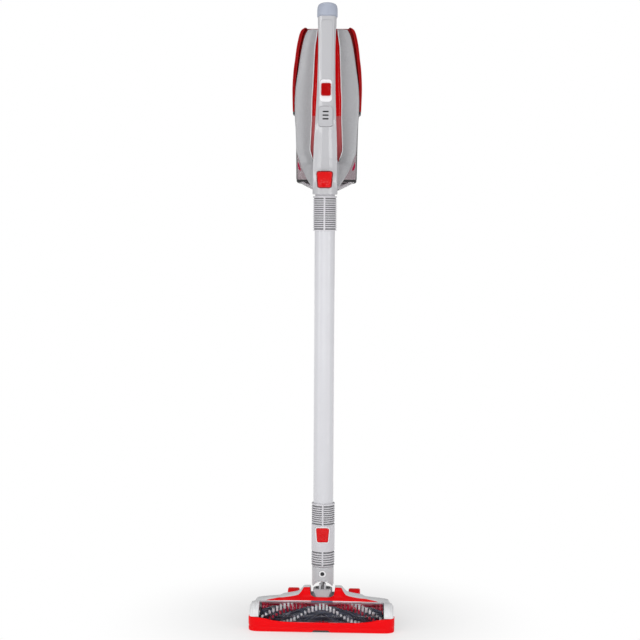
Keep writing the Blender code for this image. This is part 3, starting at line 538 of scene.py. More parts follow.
def glass(name, colour, roughness=0.04, ior=1.35):
    """Clear or tinted plastic: one plain colour, with a faint grain in its roughness."""
    look = plastic(name, colour, roughness, bump=0.0, variation=0.0)
    shader = look.node_tree.nodes["Principled BSDF"]
    shader.inputs["Transmission Weight"].default_value = 1.0
    shader.inputs["IOR"].default_value = ior


def painted_sheen_below(look, height, second, matrix, softness=0.0006):
    """A second colour below a height along a leaning axis: a painted sheen, lighter where the surface
    turns towards the light.
    """
    wires = Wiring(look.node_tree)
    axis = matrix.to_3x3() @ Vector((0, 0, 1))
    place = wires.node("ShaderNodeTexCoord").outputs["Object"]
    along = wires.node("ShaderNodeVectorMath", {"operation": "DOT_PRODUCT"}, i0=place, i1=axis)
    level = axis.dot(matrix.translation) + height
    step = wires.node("ShaderNodeMapRange", Value=along.outputs["Value"],
                      From_Min=level - softness, From_Max=level + softness)
    shader = look.node_tree.nodes["Principled BSDF"]
    first = shader.inputs["Base Color"].links[0].from_socket
    mixed = wires.node("ShaderNodeMix", {"data_type": "RGBA"}, Factor=step.outputs["Result"],
                       i6=(*second, 1.0), i7=first)
    wires.feed(shader, "Base Color", mixed.outputs[2])


def make_materials(colours):
    plastic("Light grey shell", colours.shell_grey, 0.26, coat=0.5)
    plastic("Collar grey", colours.collar_grey, 0.36, coat=0.15)
    plastic("Silver flake paint", colours.silver, 0.46, coat=0.10, flake=0.30, metallic=0.15)
    plastic("Head silver", colours.head_silver, 0.24, coat=0.5, flake=0.04)
    plastic("Blue grey cap", colours.blue_grey, 0.42)
    plastic("Tube paint", colours.tube_paint, 0.30, coat=0.3, flake=0.03)
    plastic("Gloss red", colours.red, 0.24, coat=0.10, specular=0.20)
    plastic("Head red", colours.head_red, 0.30, coat=0.04, specular=0.08)
    plastic("Switch red", [value * 0.6 for value in colours.red], 0.26, specular=0.12)
    # Painted shade: the housing's red is set to its darker look in shade.
    plastic("Housing red in painted shade", colours.shaded_housing_red, 0.22, coat=0.10, specular=0.20)
    # Painted shade: gloss red darkened to its look in shadow, for rims in recesses.
    plastic("Red in painted shade", colours.shaded_red, 0.25, coat=0.1, specular=0.2)
    plastic("Channel red", colours.channel_red, 0.20, coat=0.10, specular=0.15)
    # Painted light: much lighter than the vanes' crimson, to stand in for light that the window keeps
    # out of the chamber.
    plastic("Chamber crimson with painted light", (0.95, 0.030, 0.120), 0.40, specular=0.1)
    plastic("Crimson", (0.42, 0.006, 0.06), 0.30, specular=0.2)
    # Painted shade for the floors of the collar grooves.
    plastic("Groove painted shade", (0.19, 0.19, 0.20), 0.60)
    plastic("Rib pink", (0.85, 0.42, 0.50), 0.40)
    plastic("Lamp black", (0.004, 0.004, 0.005), 0.25)
    plastic("Blue grey badge", (0.09, 0.19, 0.28), 0.35)
    plastic("Smoked shroud", (0.10, 0.10, 0.11), 0.35, bump=0.05)
    plastic("Navy roller", (0.022, 0.026, 0.046), 0.32, coat=0.3, bump=0.06)
    plastic("Black plastic", (0.020, 0.020, 0.024), 0.45, dust=0.3)
    plastic("White plastic", (0.80, 0.80, 0.82), 0.35)
    plastic("Black rubber", (0.022, 0.022, 0.023), 0.72, bump=0.12, dust=0.3)
    plastic("White nylon", (0.97, 0.97, 0.98), 0.45)
    plastic("Red nylon", (0.62, 0.008, 0.045), 0.45)
    plastic("Felt", (0.05, 0.05, 0.055), 0.95, bump=0.5, grain=2600.0, dust=0.2)
    plastic("Bright steel", (0.62, 0.62, 0.63), 0.22, metallic=1.0)
    plastic("Motor can", (0.50, 0.50, 0.51), 0.34, metallic=1.0, bump=0.06)
    plastic("Cell wrap", (0.05, 0.10, 0.27), 0.4)
    plastic("Circuit board", (0.02, 0.16, 0.06), 0.4, bump=0.10)
    plastic("Filter paper", (0.80, 0.78, 0.72), 0.92, bump=0.35, grain=1800.0)
    glass("Clear cup", (0.95, 0.86, 0.89), 0.05, 1.20)
    glass("Clear window", (0.99, 0.98, 1.0), 0.0, 1.12)
    glass("Smoked lid", (0.80, 0.77, 0.80), 0.10)


# ---------------------------------------------------------------- repeats made with geometry nodes


def grown(group, look, **values):
    """The plain mesh that a node group makes with these inputs."""
    carrier = new_object("grown", bmesh.new())
    modifier = carrier.modifiers.new("grown", "NODES")
    modifier.node_group = group
    values["Material"] = finish_named(look)
    for item in group.interface.items_tree:
        if item.in_out == "INPUT" and item.name in values:
            modifier[item.identifier] = values[item.name]
    mesh = applied(carrier).data
    bpy.data.objects.remove(carrier, do_unlink=True)
    return mesh


def rib_tree():
    """Ribs round a collar, each an arc left open at the front, one above the other."""
    tree = Group("Collar ribs", "GeometryNodeTree",
                 {"Radius": 0.0197, "Width": 0.0026, "Thickness": 0.0012, "Gap": 0.18,
                  "Count": 14, "Pitch": 0.0039})
    put = tree.given.outputs
    start = tree.math("ADD", put["Gap"], -math.pi / 2)
    sweep = tree.math("MULTIPLY_ADD", put["Gap"], -2.0, math.tau)
    arc = tree.node("GeometryNodeCurveArc", {"mode": "RADIUS"}, Resolution=72,
                    Radius=put["Radius"], Start_Angle=start, Sweep_Angle=sweep)
    shape = tree.node("GeometryNodeCurvePrimitiveQuadrilateral", {"mode": "RECTANGLE"},
                      Width=put["Thickness"], Height=put["Width"])
    corner = tree.math("MULTIPLY", put["Thickness"], 0.35)
    softer = tree.node("GeometryNodeFilletCurve", {"mode": "POLY"}, Curve=shape.outputs[0],
                       Radius=corner, Count=2, Limit_Radius=True)
    rib = tree.node("GeometryNodeCurveToMesh", Curve=arc.outputs[0],
                    Profile_Curve=softer.outputs[0], Fill_Caps=True)
    step = tree.node("ShaderNodeCombineXYZ", Z=put["Pitch"])
    line = tree.node("GeometryNodeMeshLine", {"mode": "OFFSET"}, Count=put["Count"],
                     Offset=step.outputs[0])
    copies = tree.node("GeometryNodeInstanceOnPoints", Points=line.outputs[0],
                       Instance=rib.outputs[0])
    return tree.grow(copies.outputs[0])


def tuft_tree():
    """Bristle tufts along a row that climbs round the roller from its middle to both ends."""
    tree = Group("Roller tufts", "GeometryNodeTree",
                 {"Count": 34, "Length": 0.2050, "Start angle": 1.57, "Twist": 37.0,
                  "Core radius": 0.0150, "Tip radius": 0.0213, "Tuft radius": 0.0014,
                  "Bristle radius": 0.00042, "Seed": 3})
    put = tree.given.outputs
    first = tree.node("ShaderNodeCombineXYZ", X=tree.math("MULTIPLY", put["Length"], -0.5))
    gaps = tree.math("SUBTRACT", put["Count"], 1.0)
    step = tree.node("ShaderNodeCombineXYZ", X=tree.math("DIVIDE", put["Length"], gaps))
    line = tree.node("GeometryNodeMeshLine", {"mode": "OFFSET"}, Count=put["Count"],
                     Start_Location=first.outputs[0], Offset=step.outputs[0])
    spot = tree.node("GeometryNodeInputPosition").outputs[0]
    across = tree.node("ShaderNodeSeparateXYZ", i0=spot).outputs["X"]
    back = tree.math("MULTIPLY", tree.math("ABSOLUTE", across), put["Twist"])
    angle = tree.math("SUBTRACT", put["Start angle"], back)
    out_y = tree.math("MULTIPLY", tree.math("COSINE", angle), -1.0)
    out_z = tree.math("SINE", angle)
    outward = tree.node("ShaderNodeCombineXYZ", Y=out_y, Z=out_z)
    lift = tree.node("ShaderNodeVectorMath", {"operation": "NORMALIZE"}, i0=outward.outputs[0])
    kept = tree.node("GeometryNodeStoreNamedAttribute",
                     {"data_type": "FLOAT_VECTOR", "domain": "POINT"},
                     Geometry=line.outputs[0], Name="outward", Value=lift.outputs[0])
    root = tree.node("ShaderNodeCombineXYZ", X=across,
                     Y=tree.math("MULTIPLY", out_y, put["Core radius"]),
                     Z=tree.math("MULTIPLY", out_z, put["Core radius"]))
    moved = tree.node("GeometryNodeSetPosition", Geometry=kept.outputs[0], Position=root.outputs[0])
    bristle = tree.node("GeometryNodeMeshCone", {"fill_type": "NGON"}, Vertices=5,
                        Radius_Top=tree.math("MULTIPLY", put["Bristle radius"], 0.7),
                        Radius_Bottom=put["Bristle radius"],
                        Depth=tree.math("SUBTRACT", put["Tip radius"], put["Core radius"]))
    disc = tree.node("GeometryNodeMeshCircle", {"fill_type": "NONE"}, Vertices=8,
                     Radius=put["Tuft radius"])
    inner = tree.node("GeometryNodeMeshCircle", {"fill_type": "NONE"}, Vertices=4,
                      Radius=tree.math("MULTIPLY", put["Tuft radius"], 0.45))
    spots = tree.node("GeometryNodeJoinGeometry", Geometry=disc.outputs[0])
    tree.feed(spots, "Geometry", inner.outputs[0])
    sway = tree.node("FunctionNodeRandomValue", {"data_type": "FLOAT_VECTOR"},
                     i0=(-0.10, -0.10, 0), i1=(0.10, 0.10, 0), Seed=put["Seed"])
    tuft = tree.node("GeometryNodeInstanceOnPoints", Points=spots.outputs[0],
                     Instance=bristle.outputs[0], Rotation=sway.outputs[0])
    named = tree.node("GeometryNodeInputNamedAttribute", {"data_type": "FLOAT_VECTOR"},
                      Name="outward")
    turn = tree.node("FunctionNodeAlignEulerToVector", {"axis": "Z"}, Vector=named.outputs[0])
    row = tree.node("GeometryNodeInstanceOnPoints", Points=moved.outputs[0],
                    Instance=tuft.outputs[0], Rotation=turn.outputs[0])
    return tree.grow(row.outputs[0])


# ---------------------------------------------------------------- tube, collars and neck


def make_tube():
    """The painted tube, with its ends rolled in where they enter the collars."""
    wall, lip = 0.0008, 0.0004
    bm = bmesh.new()
    profile = [(TUBE_R - lip, TUBE_LOW), (TUBE_R, TUBE_LOW + lip), (TUBE_R, 0.30), (TUBE_R, 0.45),
               (TUBE_R, 0.60), (TUBE_R, TUBE_HIGH - lip), (TUBE_R - lip, TUBE_HIGH),
               (TUBE_R - wall, TUBE_HIGH), (TUBE_R - wall, TUBE_LOW)]
    add_turned(bm, profile, UPRIGHT, 128, closed=True)
    made = closed_object("wand_tube", bm)
    finish_piece(made, "Tube paint", "wand", ["tube"])


def collar(name, zones, body, node, sizes, rib_group, window=None):
    """A cuff with groups of ribs, each rib open at the front where a plain bar runs up."""
    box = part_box(node)
    low, high, radius = box[0].z, box[1].z, (box[1].x - box[0].x) / 2
    floor_r = radius - sizes.groove_depth
    inner = TUBE_R + 0.0003
    bm = bmesh.new()
    profile = [(radius - 0.0009, high), (radius - 0.0002, high - 0.0005), (radius, high - 0.0014)]
    for bottom, top, _ in sorted(zones, key=lambda zone: -zone[1]):
        profile += [(radius, top + 0.0003), (radius - 0.0003, top), (floor_r, top),
                    (floor_r, bottom), (radius - 0.0003, bottom), (radius, bottom - 0.0003)]
    profile += [(radius, low + 0.0012), (radius - 0.0009, low), (inner, low), (inner, high)]
    add_turned(bm, profile, UPRIGHT, 128, closed=True)
    gap = sizes.bar_width / 2 / radius
    for bottom, top, count in zones:
        pitch = (top - bottom) / count
        width = pitch - sizes.groove_width
        ribs = grown(rib_group, "Collar grey", Radius=(radius + floor_r) / 2 - 0.0001, Width=width,
                     Thickness=radius - floor_r + 0.0002, Gap=gap, Count=count - 1, Pitch=pitch)
        add_mesh(bm, ribs, UPRIGHT @ Matrix.Translation((0, 0, bottom + pitch)))
        half_bar = sizes.bar_width / 2
        bar = rounded_box(-half_bar, half_bar, bottom - 0.001, top + 0.001, 0.0006, 3)
        reach = math.sqrt(radius ** 2 - half_bar ** 2)
        add_cushion(bm, bar, reach - floor_r + 0.0006, 0.0004, face_on(UPRIGHT, floor_r - 0.0006),
                    rings=2)
    made = closed_object(name, bm)
    if window:
        cut(made, window)
    # Dark sleeves on the groove floors: painted shade where the grooves fall into shadow.
    for bottom, top, _ in zones:
        shade_sleeve = bmesh.new()
        add_turned(shade_sleeve, [(floor_r + 0.0002, bottom + 0.0002), (floor_r + 0.0002, top - 0.0002),
                            (floor_r - 0.0004, top - 0.0002), (floor_r - 0.0004, bottom + 0.0002)],
                   UPRIGHT, 96, closed=True)
        label = "%s_groove_%d" % (name, round(bottom * 1000))
        finish_piece(closed_object(label, shade_sleeve), "Groove painted shade", body)
    finish_piece(made, "Collar grey", body, [node], angle=40)


def button_outline(half_top, half_bottom, low, high, radius, grow=0.0):
    corners = [(-half_bottom - grow, low - grow), (half_bottom + grow, low - grow),
               (half_top + grow, high + grow), (-half_top - grow, high + grow)]
    return rounded_outline(corners, radius + grow, 7)


def make_collars(sizes):
    """Both ribbed cuffs, and the pale rim round the lower button's window."""
    ribs = rib_tree()
    collar("upper_cuff", [(0.6958, 0.7512, 15)], "wand", "upper_collar", sizes, ribs)
    shape = (0.0119, 0.0098, 0.1489, 0.1746, 0.0030)
    window = prism("window", button_outline(*shape), -0.004, 0.008, face_on(UPRIGHT, 0.0204))
    collar("lower_cuff", [(0.1062, 0.1310, 6), (0.1788, 0.2128, 9)], "neck", "lower_collar",
           sizes, ribs, window)
    outer = resampled(button_outline(*shape, 0.0013), 96)
    inner = resampled(button_outline(*shape), 96)
    rows = []
    for line, fronts in ((outer, (0.0, 0.0024)), (inner, (0.0026, 0.0))):
        for front in fronts:
            rows.append(lay(face_on(UPRIGHT, 0.0196), line, front))
    rim_piece = skinned("lower_button_rim", rows, hoop=True)
    finish_piece(rim_piece, "White plastic", "neck")


def release_button(name, node, half_top, half_bottom, low, high, front, depth, body, dent_z, sizes):
    """A red button, wider at its top, with a round thumb hollow."""
    bm = bmesh.new()
    outline = resampled(button_outline(half_top, half_bottom, low, high, 0.0030), 96)
    add_cushion(bm, outline, depth, 0.0011, face_on(UPRIGHT, -front - depth), crown=0.0004,
                dent=(0.0, dent_z, sizes.dimple / 2, 0.0016), rings=26)
    made = closed_object(name, bm)
    finish_piece(made, "Gloss red", body, [node], angle=50)


def make_buttons(sizes):
    release_button("lower_release", "lower_button", 0.0116, 0.0095, 0.1493, 0.1742,
                   -0.0230, 0.0024, "tube_release", 0.1570, sizes)
    release_button("upper_release", "upper_button", 0.0133, 0.0107, 0.7690, 0.7955,
                   -0.0237, 0.0038, "hand_release", 0.7768, sizes)


def make_neck():
    """The knuckle with its rounded shoulders and arched skirt, the pale ring, and the pin."""
    radius, wall = 0.0194, 0.0025
    low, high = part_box("neck_knuckle")
    bm = bmesh.new()
    shoulder = 0.0030
    profile = [(0.0150, high.z), (radius - shoulder, high.z)]
    for k in range(1, 6):
        angle = math.pi / 2 * k / 5
        profile.append((radius - shoulder + shoulder * math.sin(angle),
                        high.z - shoulder + shoulder * math.cos(angle)))
    profile += [(radius, 0.090), (radius, 0.080), (radius, low.z + 0.0004),
                (radius - 0.0004, low.z), (radius - wall, low.z), (radius - wall, high.z - 0.0034),
                (0.0150, high.z - 0.0030)]
    add_turned(bm, profile, UPRIGHT, 128, closed=True)
    made = closed_object("knuckle_shell", bm)
    arch = prism("arch", ring(0.0186, 72, centre=(0.0, 0.0604)), -0.04, 0.04, face_on(UPRIGHT))
    cut(made, arch)
    seat = prism("seat", ring(0.0066, 48, centre=(0.0, SWING_Z)), 0.0176, 0.03, face_on(UPRIGHT))
    cut(made, seat)
    finish_piece(made, "Light grey shell", "neck", ["neck_knuckle"])
    rows = []
    for k in range(49):
        angle = math.radians(28 + 124 * k / 48)
        row = []
        for reach, out in ((0.0186, 0.0001), (0.0186, 0.0009), (0.0194, 0.0012), (0.0208, 0.0009),
                           (0.0212, 0.0001)):
            x, z = reach * math.cos(angle), 0.0604 + reach * math.sin(angle)
            y = -math.sqrt(max((radius + out) ** 2 - x ** 2, 0.000004))
            row.append(UPRIGHT @ Vector((x, y, z)))
        back = []
        for reach in (0.0212, 0.0186):
            x, z = reach * math.cos(angle), 0.0604 + reach * math.sin(angle)
            y = -math.sqrt(max((radius - 0.0012) ** 2 - x ** 2, 0.000004))
            back.append(UPRIGHT @ Vector((x, y, z)))
        rows.append(row + back)
    arch_rim = skinned("knuckle_arch_rim", rows)
    finish_piece(arch_rim, "Light grey shell", "neck")
    bush = bmesh.new()
    seat_board = face_on(UPRIGHT)
    add_turned(bush, [(0.0062, 0.0178), (0.0062, 0.0192), (0.0058, 0.0198), (0.0040, 0.0198),
                      (0.0036, 0.0192), (0.0036, 0.0178)],
               seat_board @ Matrix.Translation((0, SWING_Z, 0)), 64, closed=True)
    finish_piece(closed_object("pin_ring", bush), "White plastic", "neck",
                 ["swing_bush"])
    pin = bmesh.new()
    head = [(0.0, 0.0202), (0.0012, 0.0202), (0.0014, 0.0192), (0.0028, 0.0192), (0.0032, 0.0188),
            (0.0032, -0.0208), (0.0, -0.0208)]
    add_turned(pin, head, seat_board @ Matrix.Translation((0, SWING_Z, 0)), 48)
    finish_piece(closed_object("swing_pin_finish", pin), "Black plastic", "yoke",
                 ["swing_pin"], angle=25)


def make_yoke():
    """The tilting drum, a face plate that narrows towards the floor head, and two posts."""
    node = frame["nodes"]["neck_yoke"]
    bm = bmesh.new()
    bm.from_mesh(node.data)
    bmesh.ops.remove_doubles(bm, verts=bm.verts, dist=0.00001)
    made = new_object("tilt_drum", bm)
    finish_piece(made, "Light grey shell", "yoke", ["neck_yoke"], angle=30)
    corners = [(-0.0098, 0.0512), (0.0098, 0.0512), (0.0172, 0.0646), (-0.0172, 0.0646)]
    outline = resampled(rounded_outline(corners, 0.0030, 6), 88)
    inset = resampled(rounded_outline([(x * 0.87, 0.0585 + (z - 0.0585) * 0.80)
                                       for x, z in corners], 0.0024, 6), 88)
    board = face_on(UPRIGHT)
    levels = [(outline, 0.0120), (outline, 0.0190), (outline, 0.0196), (inset, 0.0196),
              (inset, 0.0186)]
    rows = [lay(board, line, out) for line, out in levels]
    finish_piece(skinned("yoke_plate", rows), "Light grey shell", "yoke", angle=30)
    posts = bmesh.new()
    for side in (-1, 1):
        column = rounded_box(side * 0.0044 - 0.0017, side * 0.0044 + 0.0017, 0.0600, 0.0745, 0.0012, 4)
        add_cushion(posts, column, 0.0031, 0.0010, face_on(UPRIGHT, 0.0120), rings=2)
    finish_piece(closed_object("yoke_posts", posts), "Light grey shell", "yoke")


# ---------------------------------------------------------------- hand unit


# A drawing board that faces the rear of the hand unit, and the axis of the cup's air inlet.
BACK_BOARD = BODY @ Matrix(((-1, 0, 0, 0), (0, 0, 1, 0), (0, 1, 0, 0), (0, 0, 0, 1)))
INLET = BODY @ Matrix.Translation((0, 0, 0.0420)) @ Matrix.Rotation(-math.pi / 2, 4, "X")
BODY_HALF = through([(0.016, 0.0540), (0.080, 0.0550), (0.1405, 0.0568), (0.1450, 0.0604),
                     (0.170, 0.0613), (0.190, 0.0617), (0.221, 0.0600), (0.242, 0.0573),
                     (0.264, 0.0545), (0.282, 0.0507), (0.294, 0.0458), (0.303, 0.0360)])
WING_FRONT = through([(-0.003, 0.0), (0.008, 0.0), (0.020, 0.0050), (0.032, 0.0130),
                      (0.045, 0.0220), (0.056, 0.0278), (0.0690, 0.0300)])
PANEL_HALF = through([(0.004, 0.0222), (0.008, 0.0227), (0.014, 0.0256), (0.022, 0.0306),
                      (0.032, 0.0356), (0.041, 0.0398), (0.050, 0.0434), (0.063, 0.0475),
                      (0.079, 0.0530), (0.120, 0.0552),
                      (0.140, 0.0568), (0.165, 0.0572), (0.190, 0.0560), (0.221, 0.0520),
                      (0.264, 0.0455), (0.285, 0.0405), (0.296, 0.0350)])
CHANNEL_HALF = through([(0.063, 0.0215), (0.070, 0.0248), (0.079, 0.0279), (0.108, 0.0269),
                        (0.137, 0.0258), (0.165, 0.0257), (0.192, 0.0243), (0.223, 0.0231),
                        (0.262, 0.0214), (0.283, 0.0186), (0.296, 0.0172)])
HANDLE_HALF = through([(0.040, 0.0208), (0.069, 0.0203), (0.1255, 0.0179), (0.184, 0.0158),
                       (0.250, 0.0149), (0.280, 0.0155), (0.296, 0.0163), (0.306, 0.0163)])
FLAT_HALF = through([(0.0, 0.0072), (0.030, 0.0070), (0.100, 0.0052), (0.160, 0.0060),
                     (0.200, 0.0085), (0.306, 0.0092)])
RIDGE_HALF = through([(0.0, 0.0136), (0.030, 0.0134), (0.100, 0.0110), (0.160, 0.0118),
                      (0.200, 0.0128), (0.306, 0.0130)])
RIDGE_DROP = through([(0.0, 0.0034), (0.100, 0.0030), (0.160, 0.0016), (0.200, 0.0012),
                      (0.306, 0.0010)])


def spine_section(s):
    """Right half of the spine's front at a height: flat strip, bright chamfer, side, edge."""
    half, flat, ridge, drop = HANDLE_HALF(s), FLAT_HALF(s), RIDGE_HALF(s), RIDGE_DROP(s)
    return [(0.0, 0.0), (flat * 0.7, 0.0), (flat, 0.0), (flat, 0.0), (ridge, drop), (ridge, drop),
            (half - 0.0012, 0.0060), (half, 0.0066), (half, 0.0088)]


def make_shield():
    """The lower shell: a round neck that grows a faceted spine and two wings beside it."""
    lean = through([(0.0, 0.0), (0.015, 0.1), (0.045, 0.8), (0.070, 1.0)])
    wing_half = through([(-0.003, 0.0218), (0.008, 0.0222), (0.014, 0.0252), (0.022, 0.0302),
                         (0.032, 0.0352), (0.041, 0.0395), (0.050, 0.0430), (0.063, 0.0475),
                         (0.0690, 0.0500)])
    spine_mix = through([(-0.003, 0.0), (0.006, 0.05), (0.020, 0.85), (0.036, 1.0), (0.069, 1.0)])
    rows = []
    for w in spaced(-0.0028, 0.0580, 52):
        half, front, mix = wing_half(w) - 0.0020, WING_FRONT(w) + 0.0028, spine_mix(w)
        tip = -0.0226 + 0.0787 * max(w, 0.0)
        section = []
        spine = [(x, tip + t) for x, t in spine_section(max(w - 0.0074, 0.0))]
        for k, (x, y) in enumerate(spine):
            angle = math.pi / 2 * k / (len(spine) - 1)
            round_x, round_y = 0.0218 * math.sin(angle), -0.0218 * math.cos(angle)
            section.append((x * mix + round_x * (1 - mix), y * mix + round_y * (1 - mix)))
        root = max(min(0.0206, half - 0.0004), 0.0180)
        wall = 0.0026 + 0.012 * (1 - min(1.0, max(0.0, (w - 0.004) / 0.030)))
        section += [(root + 0.0004, front - 0.0040 * mix), (root + (half - root) * 0.12, front),
                    (root + (half - root) * 0.55, front + 0.0004),
                    (half - (half - root) * 0.12, front + 0.0012 * mix),
                    (half, front + 0.0026 * mix + 0.0002),
                    (half, front + 0.0026 * mix + 0.0012),
                    (half - (half - root) * 0.2, front + 0.0026 + wall)]
        back = max(front + 0.0030 + wall, 0.0218 * (1 - mix))
        section += [(root * 0.9, back), (0.0, back)]
        turn = Matrix.Rotation(-BODY_LEAN * lean(max(w, 0.0)), 4, "X")
        place = Matrix.Translation((0, TUBE_Y, HAND_Z)) @ turn
        outline = softened(both_sides(section), 2)
        rows.append(lay(place, outline, w))
    made = skinned("shield_housing", rows)
    shape = (0.0136, 0.0110, 0.7687, 0.7958, 0.0032)
    cut(made, prism("well", button_outline(*shape), 0.0166, 0.04, face_on(UPRIGHT)))
    bore = prism("bore", ring(0.0174, 72), -0.02, 0.0052, UPRIGHT @ Matrix.Translation((0, 0, 0.7552)))
    cut(made, bore)
    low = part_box("nozzle_housing")[0]
    spigot = bmesh.new()
    add_turned(spigot, [(0.0145, low.z), (0.0168, low.z), (0.0172, low.z + 0.0006),
                        (0.0172, 0.7620), (0.0145, 0.7620)], UPRIGHT, 96, closed=True)
    add_turned(spigot, [(0.0112, 0.0300), (0.0136, 0.0300), (0.0136, 0.0452), (0.0130, 0.0458),
                        (0.0112, 0.0458)], INLET, 72, closed=True)
    finish_piece(closed_object("airway_spigot", spigot), "Collar grey", "hand_unit")
    finish_piece(made, "Light grey shell", "hand_unit",
                 ["nozzle_housing"], angle=38)
    outer = resampled(button_outline(*shape, 0.0013), 96)
    inner = resampled(button_outline(*shape, -0.0001), 96)
    board = face_on(UPRIGHT)
    levels = [(outer, 0.0190), (outer, 0.0222), (inner, 0.0224), (inner, 0.0190)]
    lines = [lay(board, line, out) for line, out in levels]
    # The rim round the upper button is painted shade: red darkened as if in shadow.
    finish_piece(skinned("upper_button_rim", lines, hoop=True), "Red in painted shade", "hand_unit")


def make_side_shells():
    """Two silver cheeks from the neck to the top, rolled in along the channel between them."""
    tuck = through([(0.004, 0.0170), (0.0560, 0.0195), (0.0610, 0.0222), (0.0780, 0.0277)])
    for side, label in ((-1, "left"), (1, "right")):
        rows = []
        for w in spaced(0.0050, 0.0600, 24) + spaced(0.0620, 0.2950, 72):
            inner, outer = (tuck(w) if w < 0.0780 else CHANNEL_HALF(w)), PANEL_HALF(w)
            wide = outer - inner
            back = WING_FRONT(w) - 0.0300
            deep = min(1.0, max(0.25, (w - 0.004) / 0.060))
            lip = min(0.0030, wide * 0.3)
            line = [(inner, 0.0085), (inner, 0.0018), (inner + 0.25 * lip, 0.0002),
                    (inner + lip, -0.0004), (inner + 1.1 * lip, 0.0),
                    (inner + wide * 0.5, -0.0002), (outer - 2.0 * lip, 0.0014 * deep),
                    (outer - 0.7 * lip, 0.0028 * deep), (outer - 0.1 * lip, 0.0044 * deep),
                    (outer, 0.0085), (outer - 0.6 * lip, 0.0085), (outer - 0.8 * lip, 0.0056),
                    (outer - 2.1 * lip, 0.0036), (inner + wide * 0.5, 0.0020),
                    (inner + lip, 0.0018), (inner + 0.6 * lip, 0.0030), (inner + 0.6 * lip, 0.0085)]
            rows.append([BODY @ Vector((side * x, 0.0300 + back + v, w))
                         for x, v in softened(line, 2)])
        made = skinned("side_shell_" + label, rows)
        finish_piece(made, "Silver flake paint", "hand_unit",
                     ["side_panel_" + label], angle=40)
        # A thin white bead along each channel edge: a painted highlight where the rolled edge catches
        # the light.
        rows = []
        for w in spaced(0.0620, 0.2945, 80):
            inner = tuck(w) if w < 0.0780 else CHANNEL_HALF(w)
            rows.append([BODY @ Vector((side * (inner + 0.0008) + x, 0.0303 + v, w))
                         for x, v in ring(0.0009, 10)])
        finish_piece(skinned("channel_highlight_bead_" + label, rows), "White plastic",
                     "hand_unit")


def make_channel():
    """The glossy valley behind the handle, solid red above, with a lighter painted sheen below where
    its floor slopes to the light.
    """
    rows = []
    for w in spaced(0.0575, 0.2950, 66):
        inner, outer = CHANNEL_HALF(max(w, 0.066)), PANEL_HALF(w) - 0.0030
        half = [(0.0, 0.0440), (inner * 0.5, 0.0438), (inner * 0.85, 0.0424), (inner, 0.0388),
                (inner + 0.0030, 0.0384), (outer, 0.0402), (outer, 0.0416), (inner + 0.0030, 0.0404),
                (inner * 0.86, 0.0446), (0.0, 0.0456)]
        rows.append(lay(BODY, softened(both_sides(half), 2), w))
    made = skinned("channel_valley", rows)
    # Painted sheen: the pale pink below this height stands for the light on the sloping floor.
    painted_sheen_below(finish_named("Channel red"), 0.1425, (0.66, 0.13, 0.14), BODY)
    finish_piece(made, "Channel red", "hand_unit", ["channel_liner"])


def make_handle():
    """The grip bar: a faceted front with its control recesses, a rounded back, and an end cap."""
    rows = []
    for s in spaced(0.0440, 0.3056, 88):
        half = spine_section(s)
        inside = [(HANDLE_HALF(s) - 0.0022, 0.0088), (FLAT_HALF(s), 0.0044), (0.0, 0.0044)]
        rows.append(lay(SPINE, softened(both_sides(half + inside), 2), s))
    cover = skinned("handle_front", rows)
    board = face_on(SPINE)
    track = rounded_box(-0.0104, 0.0104, 0.1505, 0.1915, 0.0060, 8)
    cut(cover, prism("track", track, -0.0011, 0.01, board))
    seat = rounded_box(-0.0130, 0.0130, 0.1060, 0.1432, 0.0062, 8)
    cut(cover, prism("seat", seat, -0.0040, 0.01, board))
    crest = rounded_box(-0.0108, 0.0108, 0.2040, 0.2990, 0.0070, 8)
    groove = prism("groove", crest, -0.0006, 0.01, board)
    inner = rounded_box(-0.0100, 0.0100, 0.2000, 0.2980, 0.0064, 8)
    cut(groove, prism("island", inner, -0.02, 0.02, board))
    cut(cover, groove)
    finish_piece(cover, "Light grey shell", "hand_unit", ["handle_cover"], angle=30)
    grip = bmesh.new()
    rows = []
    for s in spaced(0.0440, 0.3056, 63):
        wide = HANDLE_HALF(s)
        half = [(0.0, 0.0261), (wide * 0.40, 0.0261), (wide * 0.80, 0.0236), (wide, 0.0165),
                (wide, 0.0110), (wide, 0.0090), (wide, 0.0090), (wide * 0.84, 0.0090),
                (wide * 0.84, 0.0150), (wide * 0.66, 0.0222), (0.0, 0.0240)]
        rows.append(lay(SPINE, softened(both_sides(half), 2), s))
    add_rows(grip, rows)
    for size, centre in (((0.0240, 0.0172, 0.0140), (0, 0.0322, 0.2850)),
                         ((0.0300, 0.0280, 0.0110), (0, 0.0370, 0.0690))):
        half_x, half_y = size[0] / 2, size[1] / 2
        outline = rounded_box(-half_x, half_x, centre[1] - half_y, centre[1] + half_y, 0.0030, 5)
        lines = []
        for k, flare in ((-0.5, 1.12), (-0.3, 1.0), (0.3, 1.0), (0.5, 1.12)):
            lines.append([SPINE @ Vector((x * flare, y, centre[2] + k * size[2]))
                          for x, y in outline])
        add_rows(grip, lines)
    finish_piece(closed_object("handle_back", grip), "Light grey shell", "hand_unit",
                 ["handle_grip"], angle=35)
    cap = bmesh.new()
    profile = [(0.0, 0.0267), (0.0060, 0.0265), (0.0118, 0.0258), (0.0142, 0.0247), (0.0146, 0.0240),
               (0.0152, 0.0240), (0.0163, 0.0226), (0.0173, 0.0200), (0.0178, 0.0165),
               (0.0180, 0.0120), (0.0180, 0.0026), (0.0177, 0.0020), (0.0169, 0.0018),
               (0.0169, 0.0002), (0.0, 0.0002)]
    squash = Matrix.Diagonal((1.0, 0.80, 1.0, 1.0))
    add_turned(cap, profile, SPINE @ Matrix.Translation((0, 0.0132, 0.3056)) @ squash, 96)
    finish_piece(closed_object("end_cap_grip", cap), "Blue grey cap", "hand_unit",
                 ["handle_cap"], angle=35)


